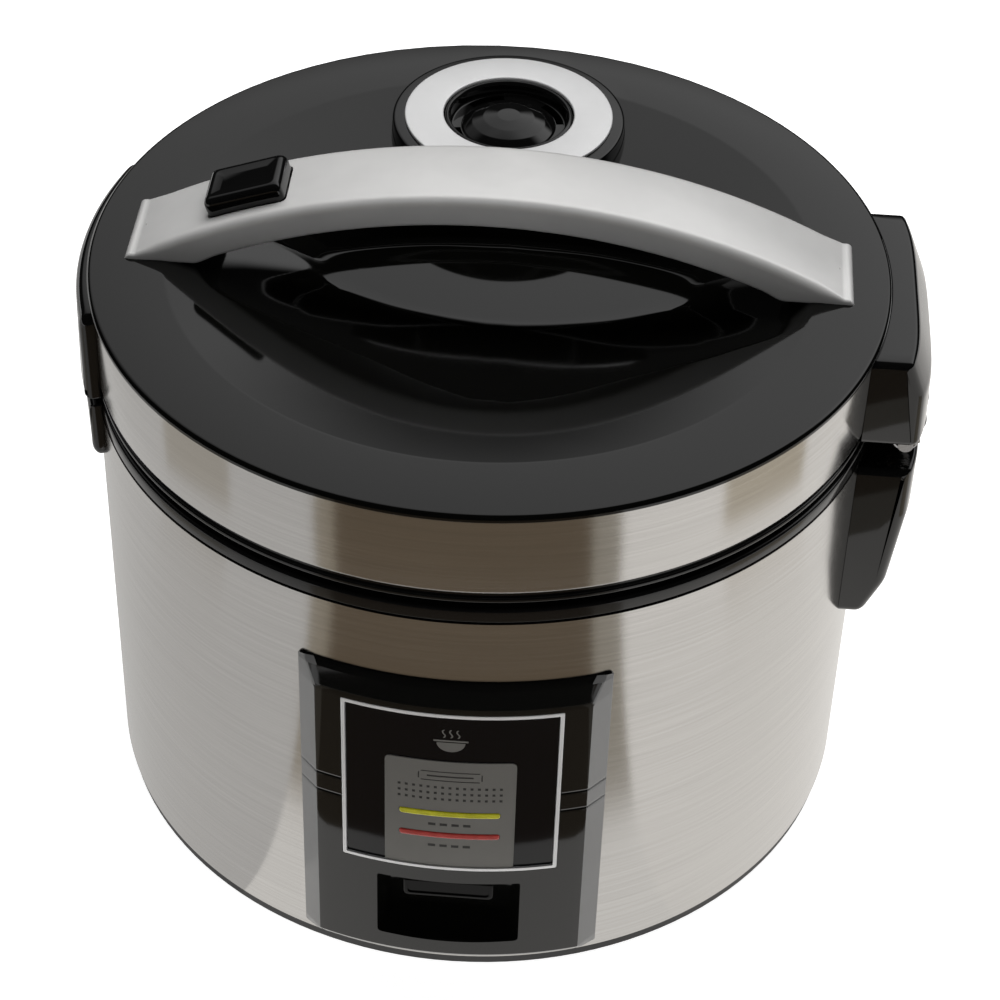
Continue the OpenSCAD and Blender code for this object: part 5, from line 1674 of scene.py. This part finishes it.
@dataclass
class HingeSide:
    """The hinge: a bracket on the drum and a cover on the lid, both with rounded edges, and the springs."""

    axis: Point = (140.0, 0.0, 168.0)
    knuckle_r: float = 7.5
    pin_r: float = 2.5
    # each spring's radius beyond the pin, its wire's radius, its length and its turns
    spring: tuple[float, float, float, float] = (1.6, 0.8, 10.0, 5.0)
    centre_half: float = 13.0
    side_len: float = 11.0
    gap: float = 0.4
    skin: float = 2.2
    plan_from: float = 120.0
    plan_back: float = 4.5
    plan_power: float = 4.0
    plan_steps: int = 24

    def slab(self, profile: Sequence[Flat], half: float, rounding: float) -> Shape:
        """A block with the profile of x and z, raised along Y between rounded rims and curved in plan."""
        return Shape().prism(profile, self.swept, -half, half, rounding, 4, self.plan_steps)

    def swept(self, u: float, v: float, w: float) -> Point:
        """Draws the outer side back towards the drum as it nears the front and rear ends."""
        reach = SIZE.ear_x - self.plan_from
        share = min(1.0, abs(w) / SIZE.ear_half) ** self.plan_power * self.plan_back / reach
        return (u - max(0.0, u - self.plan_from) * share, w, v)

    def rod(self, radius: float, low: float, high: float, rounding: float = 0.0) -> Shape:
        """A cylinder along the hinge's axis."""
        x, _, z = self.axis
        turns = [math.pi * k / 24 for k in range(48)]
        circle = [(x + radius * math.cos(a), z + radius * math.sin(a)) for a in turns]
        return Shape().prism(circle, lambda u, v, w: (u, w, v), low, high, rounding, 2)

    def drum_tool(self, radius: float, low: float, high: float) -> Shape:
        """A cylinder about the drum's axis."""
        return Shape().lathe([(0, low), (radius, low), (radius, high), (0, high)], steps=BORE_STEPS)

    def bracket(self) -> bpy.types.Object:
        """The bracket on the drum: a tapering shell with the centre knuckle on top."""
        x, _, z = self.axis
        top, inside = z - 8, SIZE.drum_r - 12
        low, face = top - 64, SIZE.ear_x - 1.2
        half = SIZE.ear_half - 1
        outer = fillet([(inside, low), (face - 11, low), (face - 4, low + 14), (face, top - 20),
                        (face, top), (inside, top)], [0, 5, 14, 20, 1.6, 0], 6)
        inner = fillet([(inside - 1, low + 3), (face - 13, low + 3), (face - 2 - self.skin, low + 14),
                        (face - self.skin, top - 20), (face - self.skin, top - 3), (inside - 1, top - 3)],
                       [0, 3, 10, 16, 1, 0], 4)
        piece = self.slab(outer, half, 3.2).object("hinge_bracket_shell")
        cut(piece, self.slab(inner, half - self.skin, 1.5))
        knuckle, web = self.knuckle_r, (-self.centre_half, self.centre_half)
        cut(piece, self.rod(knuckle, *web, 0.5),
            Shape().box((x - knuckle, x + 1.5), web, (top - 1, z), 0.3), how="UNION")
        cut(piece, self.drum_tool(SIZE.drum_r + 0.08, low - 1, SIZE.shell_top),
            self.drum_tool(SIZE.drum_r + 0.25, SIZE.shell_top - 0.01, z + 20),
            self.rod(self.pin_r + 0.02, -60, 60))
        return finish_piece(piece, "base", Look.gloss_black, "hinge_bracket", crisp=28.0)

    def cover(self) -> bpy.types.Object:
        """The cover on the lid: a rounded hood that flows down beside the knuckles."""
        x, _, z = self.axis
        low, top, face = SIZE.lid_low, SIZE.band_top + 0.1, SIZE.ear_x - 0.05
        half, inside = SIZE.ear_half, SIZE.drum_r - 12
        inner = self.centre_half + self.gap
        hood = fillet([(inside, low), (face, low), (face - 0.8, top - 13), (face - 6.5, top), (inside, top)],
                      [0, 2.8, 9, 2.4, 0], 6)
        back = face - self.skin
        hollow = fillet([(inside - 1, low - 6), (back - 1, low - 6), (back - 1.2, top - 14),
                         (back - 7.5, top - 2.4), (inside - 1, top - 2.4)], [0, 0, 4, 3, 0], 4)
        piece = self.slab(hood, half, 2.6).object("hinge_cover_hood")
        cut(piece, self.slab(hollow, half - self.skin, 1.2))
        for s in (-1, 1):
            ends = sorted((s * inner, s * (inner + self.side_len)))
            cut(piece, self.rod(self.knuckle_r, ends[0], ends[1], 0.5),
                Shape().box((x - 5, x + self.knuckle_r - 0.6), (ends[0], ends[1]), (z, low + 8), 0.3),
                how="UNION")
        cut(piece, self.drum_tool(SIZE.drum_r + 0.08, low - 10, top + 20),
            self.rod(self.pin_r + 0.05, -60, 60), self.rod(self.knuckle_r + self.gap, -inner, inner))
        return finish_piece(piece, "lid", Look.gloss_black, "hinge_cover", crisp=28.0)

    def springs(self) -> None:
        """The two torsion springs on the pin."""
        x, _, z = self.axis
        for side, s in (("front", -1), ("rear", 1)):
            start = s * (SIZE.ear_half - 7)
            more, wire, length, turns = self.spring
            coil = Coil(self.pin_r + more, wire, length, turns, (x, start, z), (90.0 * s, 0.0, 0.0))
            nodes = ("hinge_springs",) if s < 0 else ()
            finish_piece(coil.build(f"hinge_spring_{side}", Look.spring_steel), "base", Look.spring_steel,
                         *nodes)

    def build(self) -> None:
        """Builds and dresses the hinge's pieces."""
        self.bracket()
        self.cover()
        self.springs()


@dataclass
class LatchSide:
    """The latch: a keeper on the drum, a cover on the lid, both curved, and the slider's return spring."""

    half_deg: float = 20.0
    proud: float = 5.0
    spring: Coil = Coil(2.2, 0.4, 9.5, 5.0, (-69.6, 0, 184.0), (0.0, 90.0, 0.0))

    def shield(self, name: str, z: Flat, proud: float, lean: float,
               corners: Sequence[float]) -> bpy.types.Object:
        """A curved cover with rounded corners.

        Args:
            name: name of the piece.
            z: its lower and upper edge.
            proud: how far it stands out.
            lean: how far its free edge falls back.
            corners: radius of each corner from the lower left.
        Returns:
            The bare piece.
        """
        r = SIZE.drum_r
        half = math.radians(self.half_deg) * r
        outline = fillet([(-half, z[0]), (half, z[0]), (half, z[1]), (-half, z[1])], list(corners), 6)
        rounding = min(2.4, proud * 0.5)
        rows = [(0.0, r + 0.05), (0.0, r + 0.6)]
        rows += [(rounding * (1 - math.cos(b)) + 0.5 * k / 4, r + proud - rounding * (1 - math.sin(b)))
                 for k, b in enumerate(quarter(4))]

        def place(u: float, v: float, w: float) -> Point:
            """Wraps the outline round the -X side; the free edge leans back towards the drum."""
            share = (v - z[0]) / (z[1] - z[0])
            edge = max(0.0, 1 - share * 4) if lean > 0 else max(0.0, (share - 0.75) * 4)
            out = w - (w - r) * abs(lean) * edge * edge
            return (*at_angle(-90 + math.degrees(u / r), max(r + 0.05, out)), v)

        return SlicedArea(outline, 2.0).raised(place, rows).object(name)

    def build(self) -> None:
        """Builds and dresses the latch's pieces."""
        keeper = self.shield("latch_keeper_plate", (SIZE.shell_top - 17, SIZE.collar_top), self.proud - 1,
                             0.35, (5, 5, 0.8, 0.8))
        finish_piece(keeper, "base", Look.gloss_black, "latch_keeper", crisp=40.0)
        cover = self.shield("latch_cover_plate", (SIZE.lid_low, SIZE.band_top), self.proud,
                            -0.3, (0.8, 0.8, 5, 5))
        finish_piece(cover, "lid", Look.gloss_black, "latch_cover", crisp=40.0)
        spring = self.spring.build("latch_return_spring", Look.spring_steel)
        finish_piece(spring, "lid", Look.spring_steel, "latch_spring")


@dataclass
class RearInlet:
    """The mains inlet at the back: a flange bent to the drum, a socket with a mouth, and two screws."""

    z: Flat = (28.0, 52.0)
    half_w: float = 16.0
    depth_y: float = 119.0
    flange_deg: float = 11.5
    flange_out: float = 2.4
    screw_deg: float = 9.6
    slot_long: float = 1.7
    slot_wide: float = 0.32

    def build(self) -> None:
        """Builds and dresses the inlet and its screws."""
        r = SIZE.drum_r
        z0, z1 = self.z
        half = math.radians(self.flange_deg) * r
        outline = fillet([(-half, z0 - 3), (half, z0 - 3), (half, z1 + 3), (-half, z1 + 3)], 4.0, 6)
        rows = [(0.0, r + 0.05), (0.0, r + 1.2)]
        rows += [(1.0 - math.cos(b), r + self.flange_out - 1.0 + math.sin(b)) for b in quarter(3)]
        place = lambda u, v, w: (*at_angle(180 - math.degrees(u / r), w), v)
        piece = SlicedArea(outline, 2.0).raised(place, rows).object("mains_inlet_socket")
        half_w = self.half_w - 0.2
        body = Shape().box((-half_w, half_w), (self.depth_y - 2, r + 1), (z0 + 0.2, z1 - 0.2), 0.0, 0.4)
        cut(piece, body, how="UNION")
        mouth = fillet([(-13, z0 + 3), (13, z0 + 3), (13, z1 - 3), (-13, z1 - 3)], [2.0, 2.0, 5.5, 5.5], 5)
        grown = fillet([(-13.9, z0 + 2.1), (13.9, z0 + 2.1), (13.9, z1 - 2.1), (-13.9, z1 - 2.1)],
                       [2.6, 2.6, 6.2, 6.2], 5)
        loops = [[(u, y, v) for u, v in ring] for ring, y in
                 ((mouth, self.depth_y), (mouth, r + 0.6), (grown, r + self.flange_out + 0.4), (grown, r + 12))]
        cut(piece, Shape().loft(loops, ends=True))
        # the pins' own slots are closed by the pins, which stay as they are
        for x, lift in ((-7, -2), (7, -2), (0, 3)):
            middle = (z0 + z1) / 2 + lift
            cut(piece, Shape().box((x - 1.05, x + 1.05), (self.depth_y - 2.4, 127),
                                   (middle - 2.05, middle + 2.05)))
        finish_piece(piece, "base", Look.matte_black, "power_inlet", crisp=30.0)
        dome = fillet([(0, 0), (2.6, 0), (2.6, 0.5), (1.9, 1.15), (0.7, 1.35), (0, 1.35)],
                      [0, 0.1, 0.5, 0.5, 0.3, 0], 3)
        head = Shape().lathe(dome, steps=32)
        bare = head.alone("inlet_screw_pair")
        for a, b in ((self.slot_long, self.slot_wide), (self.slot_wide, self.slot_long)):
            cut(bare, Shape().box((-a - AXIS_X, a - AXIS_X), (-b, b), (0.6, 2.0)))
        out = r + self.flange_out - 0.05
        spots = [((*at_angle(180 + side, out), (z0 + z1) / 2), (-90.0, 0.0, side))
                 for side in (self.screw_deg, -self.screw_deg)]
        finish_piece(repeated(bare, spots, Look.screw_steel), "base", Look.screw_steel, "inlet_screws")


@dataclass
class Pot:
    """The pot with its rolled rim and level lines."""

    wall_r: float = 109.0
    floor_z: float = 45.0
    rim_r: float = 117.0
    rim_z: Flat = (166.5, 168.3)
    thick: float = 1.6
    corner_r: float = 14.0
    level_z: tuple[float, ...] = (80.0, 95.0, 110.0, 125.0, 140.0)

    def pot(self) -> bpy.types.Object:
        """The drawn pot: a dished floor, a round corner and a flat flange with a rolled edge."""
        r, z, c, t = self.wall_r, self.floor_z, self.corner_r, self.thick
        low, high = self.rim_z
        arc = [(r - c + c * math.sin(a), z + c - c * math.cos(a)) for a in quarter(10)]
        inner = [(r - c + (c - t) * math.sin(a), z + c - (c - t) * math.cos(a)) for a in quarter(10)]
        rim = fillet([(r, low - 3), (r, low), (self.rim_r, low), (self.rim_r, high), (r - t, high),
                      (r - t, low - 4)],
                     [0, 1.2, 0.85, 0.85, 1.5, 0], 5, closed=False)
        profile = [(0, z), (40, z)] + arc + rim
        for level in reversed(self.level_z):
            profile += [(r - t, level + 0.5), (r - t + 0.25, level), (r - t, level - 0.5)]
        profile += list(reversed(inner)) + [(40, z + t), (0, z + t)]
        piece = Shape().lathe(profile, steps=POT_STEPS).object("cooking_pot")
        return finish_piece(piece, "pot", Look.pot_coating, "inner_pot")

    def build(self) -> None:
        """Builds and dresses the pot."""
        self.pot()


@dataclass
class InnerLid:
    """The bright plate inside the lid, with a ring of holes and a stepped edge."""

    z: float = 169.3
    outer_r: float = 104.4
    holes: int = 8
    hole_ring: float = 60.0
    hole_r: float = 2.0
    vent_hole_r: float = 3.5

    def plate(self) -> bpy.types.Object:
        """The plate: pressed rings, a turned-down edge, and its steam holes cut by a ring of pins."""
        r, z = self.outer_r, self.z
        profile = fillet([
            (3.1, z + 1.2), (3.1, z + 2), (30, z + 2), (33, z + 2.0), (r - 8, z + 2), (r - 2, z - 3.4),
            (r - 0.1, z - 3.4), (r - 0.1, z - 4.2), (r - 2.4, z - 4.2), (r - 8.4, z + 1.2), (48, z + 1.2),
            (46.5, z + 0.7), (36.5, z + 0.7), (35, z + 1.2)],
            [0.1, 0.1, 0, 0, 2.5, 1.2, 0.25, 0.25, 0.8, 2.0, 0.6, 0.6, 0.6, 0.6], 4)
        piece = Shape().lathe(profile, steps=POT_STEPS).object("inner_lid_plate")
        pin = Shape().lathe([(0, -3), (self.hole_r, -3), (self.hole_r, 6), (0, 6)], steps=24)
        pins = ringed("steam_hole_pins", pin, self.holes, self.hole_ring, (0, 0, z), Look.bright_sheet)
        change = piece.modifiers.new("cut", "BOOLEAN")
        change.object, change.operation, change.solver = pins, "DIFFERENCE", "EXACT"
        applied(piece)
        bpy.data.objects.remove(pins)
        r = self.vent_hole_r
        cut(piece, Shape().lathe([(0, z - 3), (r, z - 3), (r, z + 6), (0, z + 6)], (0, SIZE.vent_y), 32))
        return finish_piece(piece, "lid", Look.bright_sheet, "inner_lid")

    def build(self) -> None:
        """Builds and dresses the plate."""
        self.plate()


class BareNodes:
    """CAD nodes whose shape is right: they stay, in the finish that the record gives them."""

    def build(self) -> None:
        """Dresses every CAD node that is still shown."""
        slots = {part["node"]: part["material_slot"] for part in frame["record"]["subparts"]}
        for name, node in sorted(frame["nodes"].items()):
            if node.hide_render:
                continue
            node.data.materials.clear()
            node.data.materials.append(Look[slots[name]].of())
            log.info("%s keeps its CAD shape, as %s", name, slots[name])


# ---------- studio ----------

@dataclass
class Studio:
    """A pale floor, soft light, dark and bright cards that the steel mirrors, and the camera."""

    lens: float = 98.76
    azimuth: float = 3.0
    elevation: float = 40.626
    roll: float = 1.9201
    camera_at: Point = (44.5, -739.7, 735.9)
    floor_half: float = 4000.0
    floor_z: float = -0.3
    floor_tone: float = 0.60
    floor_glow: float = 0.92
    sky_deg: Flat = (21.0, 31.0)
    sky_tone: float = 0.80
    sky_lean: float = 0.85
    sky_dark: float = 0.012
    sky_back: Flat = (0.15, 0.4)
    sky_seen: float = 0.98
    card_z: float = 1.0
    card_rise: float = 0.2
    # name, place, aim, size and watts of each soft box
    lamps: tuple[tuple[str, Point, Point, Flat, float], ...] = (
        ("overhead_soft_box", (60, 450, 1500), (0, 0, 100), (1300, 1000), 18.5),
        ("front_soft_box", (-100, -1500, 1200), (0, 0, 120), (1300, 1000), 5.0))
    # start and end direction, near and far edge, and radiance of each card
    cards: tuple[tuple[float, float, float, float, Point], ...] = (
        (-174.0, -37.0, 100.0, 460.0, (0.62, 0.61, 0.595)), (-150.0, -37.0, 460.0, 1500.0, (0.62, 0.61, 0.595)),
        (35.0, 174.0, 100.0, 460.0, (0.93, 0.905, 0.87)), (35.0, 150.0, 460.0, 1500.0, (0.93, 0.905, 0.87)),
        (-37.0, 35.0, 100.0, 196.0, (0.90, 0.88, 0.85)), (-37.0, 35.0, 196.0, 3900.0, (0.142, 0.110, 0.076)),
        (28.0, 35.0, 196.0, 1500.0, (0.36, 0.33, 0.28)), (-37.0, -32.0, 196.0, 1500.0, (0.34, 0.30, 0.24)),
        (62.0, 88.0, 297.0, 620.0, (0.56, 0.50, 0.40)), (-82.0, -60.0, 300.0, 620.0, (0.47, 0.44, 0.39)),
        (150.0, 210.0, 460.0, 3900.0, (0.015, 0.015, 0.015)))

    def camera(self) -> None:
        """Sets the camera at the viewing angle."""
        e, r = math.radians(self.elevation), math.radians(self.roll)
        right = Vector((1, 0, 0))
        ahead, up = Vector((0, math.cos(e), -math.sin(e))), Vector((0, math.sin(e), math.cos(e)))
        x = right * math.cos(r) + up * math.sin(r)
        y = -right * math.sin(r) + up * math.cos(r)
        turn = Matrix.Rotation(math.radians(self.azimuth), 3, "Z")
        frame_axes = Matrix([turn @ x, turn @ y, turn @ -ahead]).transposed()
        data = bpy.data.cameras.new("camera")
        data.lens, data.sensor_width = self.lens, 36.0
        data.clip_start, data.clip_end = 0.01, 50.0
        view = bpy.data.objects.new("camera", data)
        bpy.context.scene.collection.objects.link(view)
        at = Vector((self.camera_at[0] + AXIS_X, *self.camera_at[1:])) * MM
        view.matrix_world = Matrix.Translation(at) @ frame_axes.to_4x4()
        bpy.context.scene.camera = view

    def floor(self) -> None:
        """The floor: a wide plane, nearly white, with the faintest unevenness."""
        material = bpy.data.materials.new("studio_floor")
        surface = Surface(material)
        cloud = surface.noise(0.004, 2.0)
        tone = self.floor_tone
        surface.close({"Specular IOR Level": 0.2, "Emission Color": (1.0, 1.0, 1.0),
                       "Emission Strength": self.floor_glow},
                      {"Base Color": surface.mix(cloud.step(0.3, 0.7), (tone - 0.01,) * 3, (tone,) * 3),
                       "Roughness": cloud * 0.1 + 0.6})
        half, z = self.floor_half, self.floor_z
        self.card("studio_floor_plane", [(-half, -half, z), (half, -half, z), (half, half, z),
                                         (-half, half, z)], material)

    def card(self, name: str, corners: Sequence[Point], material: bpy.types.Material,
             glossy_only: bool = False) -> bpy.types.Object:
        """A flat card of the studio.

        Args:
            name: its name.
            corners: its corners about the drum's axis.
            material: its material.
            glossy_only: whether only reflections show it.
        Returns:
            The card.
        """
        mesh = bpy.data.meshes.new(name)
        mesh.from_pydata([tuple(c * MM for c in p) for p in corners], [], [tuple(range(len(corners)))])
        made = bpy.data.objects.new(name, mesh)
        bpy.context.scene.collection.objects.link(made)
        made.data.materials.append(material)
        if glossy_only:
            made.visible_camera = made.visible_diffuse = made.visible_shadow = False
            made.visible_transmission = made.visible_volume_scatter = False
        return made

    def glow(self, name: str, colour: Point, strength: float) -> bpy.types.Material:
        """A material that only shines, for the cards."""
        material = bpy.data.materials.new(name)
        material.use_nodes = True
        graph = Graph(material.node_tree)
        light = graph.node("ShaderNodeEmission", inputs={"Color": colour, "Strength": strength})
        graph.node("ShaderNodeOutputMaterial", inputs={"Surface": light})
        return material

    def lamp(self, name: str, at: Point, target: Point, size: Flat, power: float) -> None:
        """A white soft box.

        Args:
            name: its name.
            at: its place in millimetres.
            target: where it points.
            size: its width and depth in millimetres.
            power: its power in watts.
        """
        data = bpy.data.lights.new(name, "AREA")
        data.shape, data.size, data.size_y = "RECTANGLE", size[0] * MM, size[1] * MM
        data.energy = power
        made = bpy.data.objects.new(name, data)
        bpy.context.scene.collection.objects.link(made)
        place, aim = Vector(at) * MM, Vector(target) * MM
        made.visible_glossy = False
        turn = (aim - place).to_track_quat("-Z", "Y").to_matrix().to_4x4()
        made.matrix_world = Matrix.Translation(place) @ turn

    def world(self) -> None:
        """The surroundings: dark at the horizon, bright high behind, white where the camera sees them."""
        world = bpy.data.worlds.new("studio_world")
        bpy.context.scene.world = world
        world.use_nodes = True
        graph = Graph(world.node_tree)
        across, back, up = graph.parts(graph.node("ShaderNodeTexCoord", output="Generated"))
        low, high = (math.sin(math.radians(a)) for a in self.sky_deg)
        lean = across * self.sky_lean + self.sky_tone
        tone = up.step(low, high) * back.step(*self.sky_back) * lean + self.sky_dark
        seen = graph.node("ShaderNodeLightPath", output="Is Camera Ray")
        strength = tone + seen * (self.sky_seen - tone)
        sky = graph.node("ShaderNodeBackground", inputs={"Color": (1.0, 1.0, 1.0), "Strength": strength})
        graph.node("ShaderNodeOutputWorld", inputs={"Surface": sky})

    def floor_cards(self) -> None:
        """Cards that lie round the drum and that only its reflections show."""
        for k, (start, end, near, far, colour) in enumerate(self.cards):
            material = self.glow(f"card_tone_{k}", colour, 1.0)
            steps = max(2, round((end - start) / 6))
            angles = [start + (end - start) * n / steps for n in range(steps + 1)]
            corners = [(*at_angle(a, near), self.card_z + k * self.card_rise) for a in angles]
            corners += [(*at_angle(a, far), self.card_z + k * self.card_rise) for a in reversed(angles)]
            self.card(f"floor_card_{k}", corners, material, True)

    def build(self) -> None:
        """Sets the studio up."""
        bpy.context.scene.view_settings.view_transform = "Standard"
        self.camera()
        self.floor()
        self.world()
        self.floor_cards()
        for lamp in self.lamps:
            self.lamp(*lamp)


def main() -> None:
    """Builds the cooker piece by piece, then the studio round it."""
    logging.basicConfig(level=logging.INFO, format="%(name)s: %(message)s")
    Studio().build()
    for assembly in (Drum(), LidRing(), LidTop(), Handle(), SteamVent(), FrontPanel(), CookLever(), HingeSide(),
                     LatchSide(), RearInlet(), Pot(), InnerLid(), BareNodes()):
        log.info("building %s", type(assembly).__name__)
        assembly.build()


if __name__ == "__main__":
    main()
